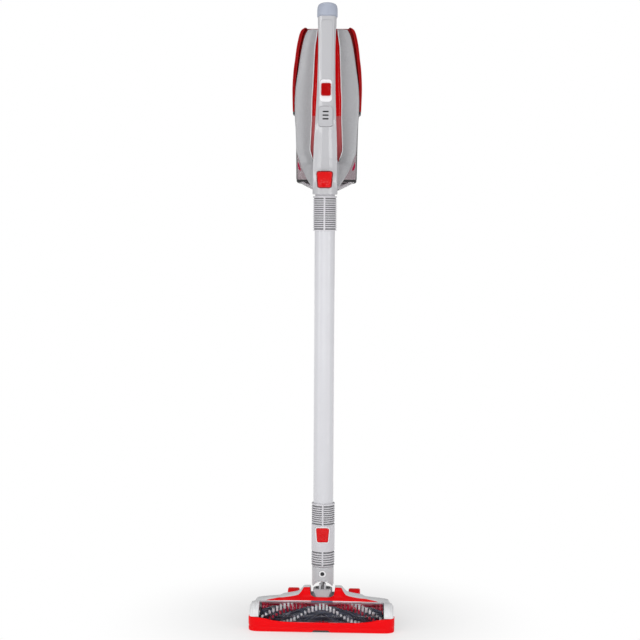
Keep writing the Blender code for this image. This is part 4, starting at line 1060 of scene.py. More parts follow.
def make_controls():
    """The sliding switch, the indicator plate with three slots, and the lamps behind them."""
    board = face_on(SPINE)
    track = bmesh.new()
    outline = resampled(rounded_box(-0.0102, 0.0102, 0.1507, 0.1913, 0.0058, 8), 96)
    add_cushion(track, outline, 0.0008, 0.0003, board @ Matrix.Translation((0, 0, -0.0014)),
                rings=3)
    finish_piece(closed_object("switch_track", track), "White plastic", "hand_unit")
    switch = bmesh.new()
    outline = resampled(rounded_box(-0.0084, 0.0084, 0.1614, 0.1836, 0.0026, 6), 80)
    add_cushion(switch, outline, 0.0040, 0.0009, board @ Matrix.Translation((0, 0, -0.0008)),
                dent=(0.0, 0.1725, 0.0060, 0.0005), rings=20)
    finish_piece(closed_object("slide_switch", switch), "Switch red", "switch",
                 ["power_switch"], angle=45)
    plate = bmesh.new()
    outline = resampled(rounded_box(-0.0124, 0.0124, 0.1066, 0.1426, 0.0057, 8), 96)
    add_cushion(plate, outline, 0.0048, 0.0006, board @ Matrix.Translation((0, 0, -0.0040)),
                rings=4)
    made = closed_object("indicator_plate", plate)
    lamps = bmesh.new()
    for step in (-1, 0, 1):
        height = 0.1265 + step * 0.0065
        bar = rounded_box(-0.0053, 0.0053, height - 0.0013, height + 0.0013, 0.0010, 4)
        cut(made, prism("slot", bar, -0.0002, 0.01, board))
        add_cushion(lamps, resampled(bar, 32), 0.0011, 0.0002,
                    board @ Matrix.Translation((0, 0, -0.0003)), rings=2)
    finish_piece(made, "Light grey shell", "hand_unit",
                 ["indicator_panel"], angle=40)
    finish_piece(closed_object("indicator_lamps", lamps), "Lamp black", "hand_unit",
                 ["light_guide"])


# Depths in the body's frame: the middle of its sides, the cup's front wall, and its back.
MID_V = 0.0385
CUP_FRONT_V = 0.0468
BACK_EDGE = through([(0.016, 0.0872), (0.1405, 0.0874), (0.1450, 0.0880), (0.190, 0.0880),
                     (0.221, 0.0872), (0.242, 0.0862), (0.264, 0.0840), (0.285, 0.0790),
                     (0.296, 0.0722), (0.303, 0.0600)])


HOUSING_HALF = through([(0.1445, 0.0604), (0.170, 0.0613), (0.190, 0.0617), (0.221, 0.0603),
                        (0.242, 0.0578), (0.264, 0.0552), (0.282, 0.0518), (0.290, 0.0496),
                        (0.2965, 0.0462), (0.3000, 0.0410)])


def d_outline(half, front, middle_v, back, count=49, power=0.72, notch=0.0):
    """A body section: a squared round back, straight sides, and a flat or notched front."""
    points = []
    for i in range(count):
        angle = math.pi * i / (count - 1)
        across = math.copysign(abs(math.cos(angle)) ** power, math.cos(angle))
        points.append((half * across, middle_v + (back - middle_v) * math.sin(angle) ** power))
    inner = half - 0.0045
    if notch:
        front_line = [(-half + 0.0024, middle_v), (-inner, notch), (-inner * 0.5, notch),
                      (inner * 0.5, notch), (inner, notch), (half - 0.0024, middle_v)]
    else:
        front_line = [(-half, front + 0.0030), (-half + 0.0012, front + 0.0009),
                      (-half + 0.0036, front), (-half * 0.5, front), (half * 0.5, front),
                      (half - 0.0036, front), (half - 0.0012, front + 0.0009),
                      (half, front + 0.0030)]
    return points + front_line


def make_motor_housing():
    """The glossy red rear housing, open below, its dark lower band, and its exhaust guard."""
    outer, inner = [], []
    for w in [0.1496, 0.1503] + spaced(0.1520, 0.2800, 30) + spaced(0.2820, 0.3000, 14):
        half, back = HOUSING_HALF(w), BACK_EDGE(w)
        if w < 0.1500:
            half, back = half - 0.0006, back - 0.0006
        outer.append(lay(BODY, d_outline(half, 0, MID_V, back, notch=0.0472), w))
    for w in (0.1496, 0.200, 0.260, 0.290, 0.2970):
        half, back = HOUSING_HALF(w) - 0.0024, BACK_EDGE(w) - 0.0024
        inner.append(lay(BODY, d_outline(half, 0, MID_V + 0.001, back, notch=0.0492), w))
    made = skinned("motor_shell", list(reversed(outer)) + inner)
    for step in range(5):
        height = 0.215 + step * 0.0070
        slot = rounded_box(-0.0180, 0.0180, height - 0.0013, height + 0.0013, 0.0012, 4)
        cut(made, prism("slot", slot, 0.075, 0.10, BACK_BOARD))
    port = rounded_box(-0.0063, 0.0063, 0.2567, 0.2673, 0.0020, 5)
    cut(made, prism("port", port, 0.070, 0.10, BACK_BOARD))
    finish_piece(made, "Housing red in painted shade", "hand_unit", ["motor_housing"], angle=42)
    lines = []
    for w, inset in ((0.1446, 0.0014), (0.1452, 0.0006), (0.1490, 0.0006), (0.1496, 0.0014),
                     (0.1496, 0.0060), (0.1446, 0.0060)):
        half, back = BODY_HALF(0.1500) - inset, BACK_EDGE(w) - inset
        lines.append(lay(BODY, d_outline(half, 0, MID_V, back, notch=0.0472), w))
    finish_piece(skinned("housing_band", lines, hoop=True), "Black plastic", "hand_unit",
                 angle=45)
    grille = bmesh.new()
    for step in range(12):
        x = -0.0165 + step * 0.0030
        add_cushion(grille, rounded_box(x - 0.0005, x + 0.0005, 0.2120, 0.2460, 0.0004, 2),
                    0.0012, 0.0003, BACK_BOARD @ Matrix.Translation((0, 0, 0.0815)), rings=1)
    finish_piece(closed_object("exhaust_guard", grille), "Black plastic", "hand_unit")


def make_dust_cup():
    """The clear cup with its rolled rim, two crimson vanes, its hinge ears, and its seal."""
    rows = []
    low, high = 0.0303, 0.1405
    heights = [low, low + 0.0006] + spaced(low + 0.004, high - 0.004, 26) + [high - 0.0006, high]
    for w in heights:
        lip = 0.0005 if w in (low, high) else 0.0
        half = BODY_HALF(w) - 0.0008 - lip
        rows.append(d_outline(half, CUP_FRONT_V + lip, CUP_FRONT_V + 0.006, 0.0872 - lip))
    walls = list(zip(heights, rows))
    for w in reversed(heights[::4]):
        half = BODY_HALF(w) - 0.0028
        walls.append((w, d_outline(half, CUP_FRONT_V + 0.002, CUP_FRONT_V + 0.008, 0.0852)))
    lines = [lay(BODY, row, w) for w, row in walls]
    made = skinned("clear_cup", lines, hoop=True)
    cut(made, prism("inlet", ring(0.0112, 64), 0.044, 0.052, INLET))
    finish_piece(made, "Clear cup", "cup", ["dust_cup"], angle=50)
    leaves = bmesh.new()
    for side in (-1, 1):
        leaf = [(side * 0.0452, 0.0455), (side * 0.0478, 0.0462), (side * 0.0502, 0.0492),
                (side * 0.0512, 0.0560), (side * 0.0508, 0.0625), (side * 0.0484, 0.0560),
                (side * 0.0462, 0.0505)]
        if side < 0:
            leaf.reverse()
        lines = [[BODY @ Vector((x, v, w)) for x, w in softened(leaf, 2)] for v in (0.0456, 0.0470)]
        add_rows(leaves, lines)
    finish_piece(closed_object("inlet_vanes", leaves), "Crimson", "cup")
    ears = bmesh.new()
    for side in (-1, 1):
        ear = rounded_box(0.0418, 0.0470, 0.0104, 0.0360, 0.0018, 5)
        lines = [lay_across(BODY, ear, side * 0.0186 + dx) for dx in (-0.0019, 0.0019)]
        add_rows(ears, lines)
    finish_piece(closed_object("cup_hinge_ears", ears), "Smoked lid", "cup")
    lines = []
    for w, out in ((0.1408, 0.0), (0.1414, 0.0012), (0.1436, 0.0012), (0.1442, 0.0),
                   (0.1442, -0.004), (0.1408, -0.004)):
        half = BODY_HALF(0.1405) - 0.0016 + out
        outline = d_outline(half, CUP_FRONT_V - out * 0.2, CUP_FRONT_V + 0.006, 0.0864 + out * 0.5)
        lines.append(lay(BODY, outline, w))
    finish_piece(skinned("cup_seal", lines, hoop=True), "Black rubber", "cup",
                 ["cup_gasket"], angle=45)


def make_lid():
    """The faceted lid under the cup, its hinge barrel, its seal, and the red latch."""
    sections = ((0.0125, 0.0230, 0.0500, 0.0690), (0.0200, 0.0380, 0.0484, 0.0800),
                (0.0278, 0.0518, 0.0480, 0.0864), (0.0286, 0.0524, 0.0480, 0.0868),
                (0.0300, 0.0524, 0.0480, 0.0868))
    outer, inner = [], []
    for w, half, front, back in sections:
        outer.append(lay(BODY, d_outline(half, front, front + 0.005, back, count=15), w))
        outline = d_outline(half - 0.0018, front + 0.0018, front + 0.0068, back - 0.0018, count=15)
        inner.append(lay(BODY, outline, min(w + 0.0016, 0.0300)))
    made = skinned("cup_floor_lid", outer + list(reversed(inner)))
    finish_piece(made, "Smoked lid", "lid", ["cup_lid"], angle=12)
    hinge = bmesh.new()
    barrel = BODY @ Matrix.Translation((0, 0.0445, 0.0125)) @ Matrix.Rotation(math.pi / 2, 4, "Y")
    add_turned(hinge, [(0.0013, 0.0160), (0.0026, 0.0160), (0.0030, 0.0156), (0.0030, -0.0156),
                       (0.0026, -0.0160), (0.0013, -0.0160)], barrel, 48, closed=True)
    tongue = rounded_box(0.0445, 0.0540, 0.0112, 0.0140, 0.0008, 3)
    lines = [lay_across(BODY, tongue, x) for x in (-0.0150, 0.0150)]
    add_rows(hinge, lines)
    finish_piece(closed_object("lid_hinge", hinge), "Smoked lid", "lid")
    lines = []
    for w, out in ((0.0262, 0.0), (0.0270, 0.0010), (0.0292, 0.0014), (0.0298, 0.0006),
                   (0.0298, -0.002), (0.0262, -0.0026)):
        lines.append(lay(BODY, d_outline(0.0518 + out, 0.0486 - out, 0.0540, 0.0858 + out), w))
    finish_piece(skinned("lid_seal", lines, hoop=True), "Black rubber", "lid", angle=45)
    latch = bmesh.new()
    pad = resampled(rounded_box(-0.0088, 0.0088, 0.0322, 0.0438, 0.0022, 5), 72)
    add_cushion(latch, pad, 0.0032, 0.0009, BACK_BOARD @ Matrix.Translation((0, 0, 0.0885)),
                rings=6)
    for step in range(4):
        height = 0.0345 + step * 0.0023
        ridge = rounded_box(-0.0062, 0.0062, height - 0.0004, height + 0.0004, 0.0003, 2)
        add_cushion(latch, ridge, 0.0036, 0.0002, BACK_BOARD @ Matrix.Translation((0, 0, 0.0882)),
                    rings=1)
    finish_piece(closed_object("lid_latch", latch), "Gloss red", "latch",
                 ["cup_latch"], angle=45)


def make_filter():
    """The pleated filter ring and the perforated cone that hangs below it."""
    axis = BODY @ Matrix.Translation((0, 0.0670, 0))
    pleats = 44
    star = []
    for i in range(pleats * 2):
        angle = math.tau * i / (pleats * 2)
        radius = 0.0169 if i % 2 else 0.0142
        star.append((radius * math.cos(angle), radius * math.sin(angle)))
    core = ring(0.0120, pleats * 2)
    lines = [lay(axis, line, w) for line, w in
             ((star, 0.1020), (star, 0.1200), (star, 0.1380), (core, 0.1380), (core, 0.1020))]
    bm = bmesh.new()
    add_hoop(bm, lines)
    for low, high in ((0.1005, 0.1024), (0.1376, 0.1394)):
        add_turned(bm, [(0.0170, low), (0.0170, high), (0.0120, high), (0.0120, low)], axis, 72,
                   closed=True)
    finish_piece(closed_object("filter_pleats", bm), "Filter paper", "cup",
                 ["pleated_filter"], angle=20)
    cone = bmesh.new()
    profile = [(0.0150, 0.1000), (0.0150, 0.0960), (0.0147, 0.0955), (0.0147, 0.0660),
               (0.0150, 0.0655), (0.0150, 0.0600), (0.0120, 0.0562), (0.0100, 0.0560),
               (0.0128, 0.0604), (0.0134, 0.1000)]
    add_turned(cone, profile, axis, 72, closed=True)
    finish_piece(closed_object("filter_cone", cone), "Smoked shroud", "cup",
                 ["filter_shroud"])


# ---------------------------------------------------------------- floor head


BRUSH_REL = BRUSH_Y - TUBE_Y
BRUSH_AXIS = UPRIGHT @ Matrix.Translation((0, BRUSH_REL, BRUSH_Z))
TROUGH_HALF = 0.0218
ROLLER_R = 0.0112
DECK = (-0.0312, -0.0230, -0.0120, 0.0030, 0.0240)
WING = (-0.0312, -0.0255, -0.0160, -0.0040, 0.0086)
STATIONS = [
    (0.0000, DECK, (0.0472, 0.0494, 0.0510, 0.0512, 0.0480)),
    (0.0130, DECK, (0.0472, 0.0496, 0.0516, 0.0524, 0.0490)),
    (0.0170, DECK, (0.0472, 0.0502, 0.0572, 0.0604, 0.0540)),
    (0.0208, DECK, (0.0472, 0.0508, 0.0622, 0.0668, 0.0590)),
    (0.0330, DECK, (0.0472, 0.0508, 0.0618, 0.0664, 0.0585)),
    (0.0372, DECK, (0.0471, 0.0502, 0.0580, 0.0618, 0.0550)),
    (0.0425, DECK, (0.0471, 0.0495, 0.0542, 0.0564, 0.0510)),
    (0.0560, DECK, (0.0470, 0.0489, 0.0522, 0.0532, 0.0480)),
    (0.0680, DECK, (0.0468, 0.0484, 0.0508, 0.0514, 0.0460)),
    (0.0760, WING, (0.0466, 0.0481, 0.0499, 0.0500, 0.0460)),
    (0.1000, WING, (0.0462, 0.0474, 0.0484, 0.0478, 0.0440)),
    (0.1140, WING, (0.0455, 0.0463, 0.0468, 0.0458, 0.0420)),
    (0.1185, WING, (0.0420, 0.0426, 0.0430, 0.0420, 0.0390)),
    (0.1205, WING, (0.0350, 0.0350, 0.0350, 0.0350, 0.0330)),
]


def station_curves():
    """For each of the five lines across the shell, its depth and its height along X."""
    deep = [through([(x, across[i]) for x, across, _ in STATIONS]) for i in range(5)]
    tall = [through([(x, heights[i]) for x, _, heights in STATIONS]) for i in range(5)]
    return deep, tall


DEEP, TALL = station_curves()


def head_line(x):
    """The shell's top line from front to rear at a distance from the middle."""
    x = abs(x)
    return through([(DEEP[i](x), TALL[i](x)) for i in range(5)])


def make_head_shell():
    """The silver upper shell with its two humps, the window's top bead, and a plain badge."""
    rows = []
    seam = 0.0254
    for x in spaced(-0.1205, 0.1205, 181):
        line = head_line(x)
        front, rear = DEEP[0](abs(x)), DEEP[4](abs(x))
        top = [(y, line(y)) for y in spaced(front, rear, 26)]
        wall = [(rear + 0.0006, top[-1][1] - 0.0012), (rear + 0.0006, seam)]
        under = [(rear - 0.0014, seam), (rear - 0.0014, top[-1][1] - 0.0024)]
        under += [(y, line(y) - 0.0020) for y in spaced(rear - 0.002, front, 12)]
        outline = [(front, top[0][1] - 0.0008)] + top + wall + under
        rows.append(lay_across(UPRIGHT, outline, x))
    made = skinned("head_shell", rows)
    cut(made, block("trough", (2 * TROUGH_HALF, 0.0800, 0.1000), (0, 0.0210, 0.0700), UPRIGHT))
    room = UPRIGHT @ Matrix.Translation((0, TILT_Y - TUBE_Y, TILT_Z)) @ ALONG_X
    cut(made, prism("room", ring(0.0040, 24), -0.035, 0.035, room))
    finish_piece(made, "Head silver", "floor_head", ["head_cover"], angle=35)
    lines = []
    for x in spaced(-0.1085, 0.1085, 63):
        top = TALL[0](abs(x))
        radius = 0.00135
        lines.append([UPRIGHT @ Vector((x, -0.0322 + radius * 1.1 * math.cos(a),
                                        top - 0.0006 + radius * math.sin(a)))
                      for a in (math.tau * k / 16 for k in range(16))])
    finish_piece(skinned("window_bead", lines), "White plastic", "floor_head")
    badge = bmesh.new()
    outline = resampled(rounded_box(-0.0190, 0.0190, 0.0455, 0.0481, 0.0008, 4), 80)
    add_cushion(badge, outline, 0.0016, 0.0004, face_on(UPRIGHT, 0.0326), rings=3)
    finish_piece(closed_object("plain_badge", badge), "Blue grey badge", "floor_head")


def make_wedge():
    """The red spear over the front of the shell: facets on both humps, tips out on the wings."""
    back_edge = through([(0.0, -0.0200), (0.0130, -0.0200), (0.0205, -0.0196), (0.0222, -0.0060),
                         (0.0325, -0.0060), (0.0365, -0.0100), (0.0430, -0.0150),
                         (0.0700, -0.0205), (0.0960, -0.0280), (0.0985, -0.0296)])
    rows = []
    for x in spaced(-0.0980, 0.0980, 197):
        line, back = head_line(x), back_edge(abs(x))
        front = -0.0304
        lift = 0.0014 * min(1.0, max(0.05, (0.0980 - abs(x)) / 0.020))
        places = spaced(front, back, 12)
        top = [(y, line(y) + lift) for y in places]
        top[0] = (front - 0.0002, line(front) + lift * 0.4)
        top[-1] = (back, line(back) + lift * 0.5)
        under = [(y, line(y) - 0.0008) for y in reversed(places[::2])]
        rows.append(lay_across(UPRIGHT, top + under, x))
    finish_piece(skinned("red_spear", rows), "Head red", "floor_head",
                 ["head_wedge"], angle=24)


def make_window():
    """The clear pane round the brush, and the chamber's crimson wall with its ribs behind it."""
    across = BRUSH_AXIS @ ALONG_X

    def wall(outer, inner, start, end, half, name):
        outline = arc(outer, start, end, 49) + arc(inner, start, end, 49)[::-1]
        return prism(name, outline, -half, half, across)

    pane = wall(0.0244, 0.0226, 82, 194, 0.1083, "clear_pane")
    finish_piece(pane, "Clear window", "floor_head", ["brush_window"])
    hood = wall(0.0243, 0.0226, -8, 79, 0.1066, "chamber_wall")
    # The chamber wall's crimson carries painted light.
    finish_piece(hood, "Chamber crimson with painted light", "floor_head")
    ribs = bmesh.new()
    for degrees in (14, 32, 50, 66):
        angle = math.radians(degrees)
        turn = BRUSH_AXIS @ Matrix.Rotation(angle, 4, "X")
        outline = rounded_box(0.0216, 0.0232, -0.0005, 0.0005, 0.0003, 2)
        add_rows(ribs, [lay_across(turn, outline, x) for x in (-0.106, 0.106)])
    finish_piece(closed_object("chamber_ribs", ribs), "Rib pink", "floor_head")


def make_bumper():
    """The red bumper strip: a dipping top edge, a low crease, and a notch under its middle."""
    front = -0.0653
    course = [(0.1272, -0.0400), (0.1272, -0.0470), (0.1270, -0.0530), (0.1252, -0.0580),
              (0.1215, -0.0618), (0.1160, -0.0642), (0.1090, front), (0.0950, front)]
    course = softened(course, 2, closed=False)
    course += [(x, front) for x in spaced(0.0930, 0.0, 48)]
    course += [(-x, y) for x, y in reversed(course[:-1])]
    top_edge = through([(0.0, 0.0176), (0.0560, 0.0178), (0.0800, 0.0198), (0.1040, 0.0243),
                        (0.1150, 0.0250), (0.1280, 0.0250)])
    bulge = through([(0.0, 0.0), (0.0220, 0.0), (0.0380, 1.0), (0.1280, 1.0)])
    notch = through([(0.0, 1.0), (0.0120, 1.0), (0.0165, 0.0), (0.1280, 0.0)])
    rows = []
    for i, (x, y) in enumerate(course):
        before, after = course[max(i - 1, 0)], course[min(i + 1, len(course) - 1)]
        along = Vector((after[0] - before[0], after[1] - before[1])).normalized()
        inward = Vector((along.y, -along.x))
        if inward.y < 0 and abs(x) < 0.12:
            inward = -inward
        if abs(x) >= 0.12 and inward.x * x > 0:
            inward = -inward
        top, swell, gap = top_edge(abs(x)), bulge(abs(x)), notch(abs(x)) * 0.0036
        low = 0.0006 + gap
        profile = [(0.0026, low), (0.0012, low), (0.0004, low + 0.0008),
                   (0.0002 + 0.0012 * (1 - swell), 0.0062 + gap * 0.4),
                   (0.0010 + 0.0006 * (1 - swell), 0.0082), (0.0010, 0.0086),
                   (0.0003, 0.0104), (0.0, 0.0120), (0.0, top - 0.0026), (0.0003, top - 0.0008),
                   (0.0010, top), (0.0026, top)]
        rows.append([UPRIGHT @ Vector((x + inward.x * d, y + inward.y * d, z)) for d, z in profile])
    finish_piece(skinned("bumper_strip", rows), "Head red", "floor_head",
                 ["front_bumper"], angle=28)


def make_end_caps(sizes):
    """A fluted silver cheek at each end of the brush chamber, its outer corner rounded off."""
    start, end = 0.1088, 0.1255
    for side, label in ((-1, "left"), (1, "right")):
        rows = []
        for x in spaced(start, end, 68):
            share = (x - start) / (end - start)
            corner = max(0.0, (share - 0.52) / 0.48)
            drop = 0.0085 * (1 - math.sqrt(max(0.0, 1 - corner ** 2)))
            wave = 0.00075 * abs(math.sin(math.pi * sizes.flutes * share))
            radius = 0.0242 - drop - wave
            outline = arc(radius, 174, 84, 22, (BRUSH_REL, BRUSH_Z))
            outline[0] = (outline[0][0], 0.0254)
            top = min(0.0468, 0.0470 - drop - wave)
            outline += [(-0.0318, top), (-0.0318, 0.0254)]
            rows.append(lay_across(UPRIGHT, outline, side * x))
        finish_piece(skinned("cheek_" + label, rows), "Head silver", "floor_head",
                     ["end_cap_" + label], angle=30)


def make_wheels():
    """Red guards with rounded edges over two treaded wheels."""
    guard_r = 0.0270
    for label in ("left", "right"):
        centre = middle("rear_wheel_" + label)
        across = Matrix.Translation(centre) @ ALONG_X
        rows = []
        for x, shrink in ((-0.01025, 0.0022), (-0.0098, 0.0010), (-0.0086, 0.0002), (-0.0078, 0.0),
                          (0.0078, 0.0), (0.0086, 0.0002), (0.0098, 0.0010), (0.01025, 0.0022)):
            radius = guard_r - shrink
            outline = [(radius - 0.0004, 0.0111 - centre.z)] + arc(radius, 0, 180, 41)
            outline += [(-radius + 0.0006, 0.0111 - centre.z)]
            rows.append(lay(across, outline, x))
        made = skinned("wheel_guard_" + label, rows)
        room = WHEEL_R + 0.0015
        well = [(room, -0.03)] + arc(room, 0, 180, 41) + [(-room, -0.03)]
        cut(made, prism("well", well, -0.0080, 0.0080, across))
        finish_piece(made, "Head red", "floor_head",
                     ["wheel_arch_" + label], angle=35)
        wheel = bmesh.new()
        half = 0.0070
        profile = [(WHEEL_R - 0.0016, half), (WHEEL_R - 0.0004, half - 0.0008),
                   (WHEEL_R, half - 0.0020)]
        for groove in (0.0034, 0.0, -0.0034):
            profile += [(WHEEL_R, groove + 0.0009), (WHEEL_R - 0.0007, groove + 0.0006),
                        (WHEEL_R - 0.0007, groove - 0.0006), (WHEEL_R, groove - 0.0009)]
        profile += [(WHEEL_R, -half + 0.0020), (WHEEL_R - 0.0004, -half + 0.0008),
                    (WHEEL_R - 0.0016, -half), (0.0172, -half), (0.0166, -0.0040),
                    (0.0160, -0.0026), (0.0070, -0.0026), (0.0060, -half), (0.0026, -half),
                    (0.0026, half), (0.0060, half), (0.0070, 0.0026), (0.0160, 0.0026),
                    (0.0166, 0.0040), (0.0172, half)]
        add_turned(wheel, profile, across, 96, closed=True)
        finish_piece(closed_object("tread_wheel_" + label, wheel), "Black rubber",
                     label + "_wheel", ["rear_wheel_" + label], angle=35)


def make_brush(sizes):
    """The roller with its rubber chevron vanes, and the white and red tufts between them."""
    roller = bmesh.new()
    across = BRUSH_AXIS @ ALONG_X
    profile = [(0.0, 0.1185), (0.0036, 0.1185), (0.0040, 0.1181), (0.0040, BRUSH_HALF),
               (0.0105, BRUSH_HALF), (ROLLER_R, BRUSH_HALF - 0.0010), (ROLLER_R, BRUSH_HALF - 0.0100),
               (ROLLER_R, 0.0), (ROLLER_R, -BRUSH_HALF + 0.0010), (0.0105, -BRUSH_HALF),
               (0.0040, -BRUSH_HALF), (0.0040, -0.1181), (0.0036, -0.1185), (0.0, -0.1185)]
    add_turned(roller, profile, across, 72)
    for start in (30, 135, 265):
        for low, high in ((-0.103, -0.0008), (0.0008, 0.103)):
            rows = []
            for x in spaced(low, high, 40):
                middle_angle = math.radians(start - sizes.twist * 1000 * abs(x))
                row = []
                for radius, width in ((0.0106, 12.0), (0.0150, 6.0), (0.0163, 2.0), (0.0163, -2.0),
                                      (0.0150, -6.0), (0.0106, -12.0)):
                    a = middle_angle + math.radians(width)
                    row.append(BRUSH_AXIS @ Vector((x, -radius * math.cos(a),
                                                    radius * math.sin(a))))
                rows.append(row)
            add_rows(roller, rows)
    finish_piece(closed_object("vaned_roller", roller), "Navy roller", "brush",
                 ["brush_roller"], angle=40)
    group = tuft_tree()
    twist = math.radians(sizes.twist * 1000)
    for name, look, slot, node, starts in (
            ("white_tufts", "White nylon", "white_bristle", "bristles_white", (90, 220)),
            ("red_tufts", "Red nylon", "red_bristle", "bristles_red", (180, 320))):
        bm = bmesh.new()
        for k, start in enumerate(starts):
            tufts = grown(group, look, **{"Start angle": math.radians(start),
                                                 "Twist": twist, "Seed": 3 + k,
                                                 "Core radius": ROLLER_R - 0.0004,
                                                 "Tuft radius": 0.0015,
                                                 "Bristle radius": 0.00052,
                                                 "Count": sizes.tufts})
            add_mesh(bm, tufts, BRUSH_AXIS)
        made = new_object(name, bm)
        finish_piece(made, look, "brush", [node], angle=60)


# ---------------------------------------------------------------- parts kept as packed


KEPT = {
    "head_chassis": "Black plastic", "front_glide": "Felt", "wheel_axle_left": "Bright steel",
    "wheel_axle_right": "Bright steel", "brush_motor": "Motor can", "motor_pinion": "Bright steel",
    "drive_belt": "Black rubber", "brush_pulley": "Black plastic",
    "brush_bearing_left": "Bright steel", "brush_bearing_right": "Bright steel",
    "tilt_axle": "Bright steel", "lower_button_spring": "Bright steel",
    "upper_button_spring": "Bright steel", "battery_stick": "Cell wrap",
    "control_board": "Circuit board", "charging_socket": "Black plastic",
    "suction_motor": "Motor can", "motor_mount": "Black rubber", "impeller": "Bright steel",
    "lid_pin": "Bright steel",
}


def dress_kept_parts():
    """Gives every inner part its finish, and leaves its shape and place alone."""
    for node, look in KEPT.items():
        part = frame["nodes"][node]
        part.data.materials.clear()
        part.data.materials.append(finish_named(look))


# ---------------------------------------------------------------- stage


CAMERA_HEIGHT = 0.7200
CAMERA_REACH = 2.6000
CAMERA_SIDE = math.radians(2.5)
CAMERA_TILT = math.radians(4.0)
CAMERA_ROLL = math.radians(0.32)
CAMERA_YAW = math.radians(0.166)
LENS = 83.85


def stage_floor():
    """A pale floor that fades into plain white away from the object."""
    mesh = bpy.data.meshes.new("floor")
    reach = 12.0
    mesh.from_pydata([(-reach, -reach, 0), (reach, -reach, 0), (reach, reach, 0),
                      (-reach, reach, 0)], [], [(0, 1, 2, 3)])
    floor = bpy.data.objects.new("floor", mesh)
    bpy.context.scene.collection.objects.link(floor)
    look = bpy.data.materials.new("Pale floor")
    look.use_nodes = True
    wires = Wiring(look.node_tree)
    shader = look.node_tree.nodes["Principled BSDF"]
    wires.feed(shader, "Base Color", (0.86, 0.85, 0.855, 1.0))
    wires.feed(shader, "Roughness", 0.45)
    glow = wires.node("ShaderNodeEmission", Strength=1.0)
    place = wires.node("ShaderNodeTexCoord").outputs["Object"]
    away = wires.node("ShaderNodeVectorMath", {"operation": "LENGTH"}, i0=place)
    fade = wires.node("ShaderNodeMapRange", {"interpolation_type": "SMOOTHSTEP"},
                      Value=away.outputs["Value"], From_Min=-0.20, From_Max=0.42)
    mixed = wires.node("ShaderNodeMixShader", i0=fade.outputs["Result"], i1=shader.outputs[0],
                       i2=glow.outputs[0])
    wires.feed(look.node_tree.nodes["Material Output"], "Surface", mixed.outputs[0])
    mesh.materials.append(look)


def stage_light(name, place, target, size, size_y, power):
    light = bpy.data.lights.new(name, "AREA")
    light.shape = "RECTANGLE"
    light.size, light.size_y, light.energy = size, size_y, power
    lamp = bpy.data.objects.new(name, light)
    lamp.location = place
    away = Vector(place) - Vector(target)
    lamp.rotation_euler = away.to_track_quat("Z", "Y").to_euler()
    bpy.context.scene.collection.objects.link(lamp)


def stage_world(level):
    """Dim white light all round, and a plain white background for the eye."""
    world = bpy.data.worlds.new("studio")
    world.use_nodes = True
    wires = Wiring(world.node_tree)
    white = (1.0, 1.0, 1.0, 1.0)
    dim = world.node_tree.nodes["Background"]
    wires.feed(dim, "Color", white)
    wires.feed(dim, "Strength", level)
    bright = wires.node("ShaderNodeBackground", Color=white)
    path = wires.node("ShaderNodeLightPath")
    mixed = wires.node("ShaderNodeMixShader", i0=path.outputs["Is Camera Ray"],
                       i1=dim.outputs[0], i2=bright.outputs[0])
    wires.feed(world.node_tree.nodes["World Output"], "Surface", mixed.outputs[0])
    bpy.context.scene.world = world


def stage_camera():
    camera = bpy.data.cameras.new("camera")
    camera.lens = LENS
    camera.sensor_width = 36.0
    eye = bpy.data.objects.new("camera", camera)
    place = Vector((CAMERA_REACH * math.sin(CAMERA_SIDE),
                    TUBE_Y - CAMERA_REACH * math.cos(CAMERA_SIDE), CAMERA_HEIGHT))
    turn = Matrix.Rotation(CAMERA_SIDE + CAMERA_YAW, 4, "Z")
    pitch = Matrix.Rotation(math.pi / 2 - CAMERA_TILT, 4, "X")
    roll = Matrix.Rotation(CAMERA_ROLL, 4, "Z")
    eye.matrix_world = Matrix.Translation(place) @ turn @ pitch @ roll
    bpy.context.scene.collection.objects.link(eye)
    bpy.context.scene.camera = eye


# ---------------------------------------------------------------- the add-on


class VacuumSizes(bpy.types.PropertyGroup):
    """Sizes of the repeated and moulded details."""

    groove_depth: bpy.props.FloatProperty(name="Groove depth", default=0.0022, unit="LENGTH",
                                          description="Depth of the grooves in both collars")
    groove_width: bpy.props.FloatProperty(name="Groove width", default=0.0017, unit="LENGTH",
                                          description="Height of each groove in the collars")
    bar_width: bpy.props.FloatProperty(name="Bar width", default=0.0030, unit="LENGTH",
                                       description="Width of the plain bar in front of the ribs")
    dimple: bpy.props.FloatProperty(name="Thumb hollow", default=0.0124, unit="LENGTH",
                                    description="Diameter of the hollow in each release button")
    flutes: bpy.props.IntProperty(name="Flutes", default=5,
                                  description="Flutes on each end cheek of the floor head")
    tufts: bpy.props.IntProperty(name="Tufts", default=34,
                                 description="Bristle tufts in each row on the roller")
    twist: bpy.props.FloatProperty(name="Row twist", default=2.10,
                                   description="Degrees that a row turns for each millimetre")


def colour(name, description, value):
    return bpy.props.FloatVectorProperty(name=name, description=description, subtype="COLOR",
                                         size=3, min=0.0, max=1.0, default=value)


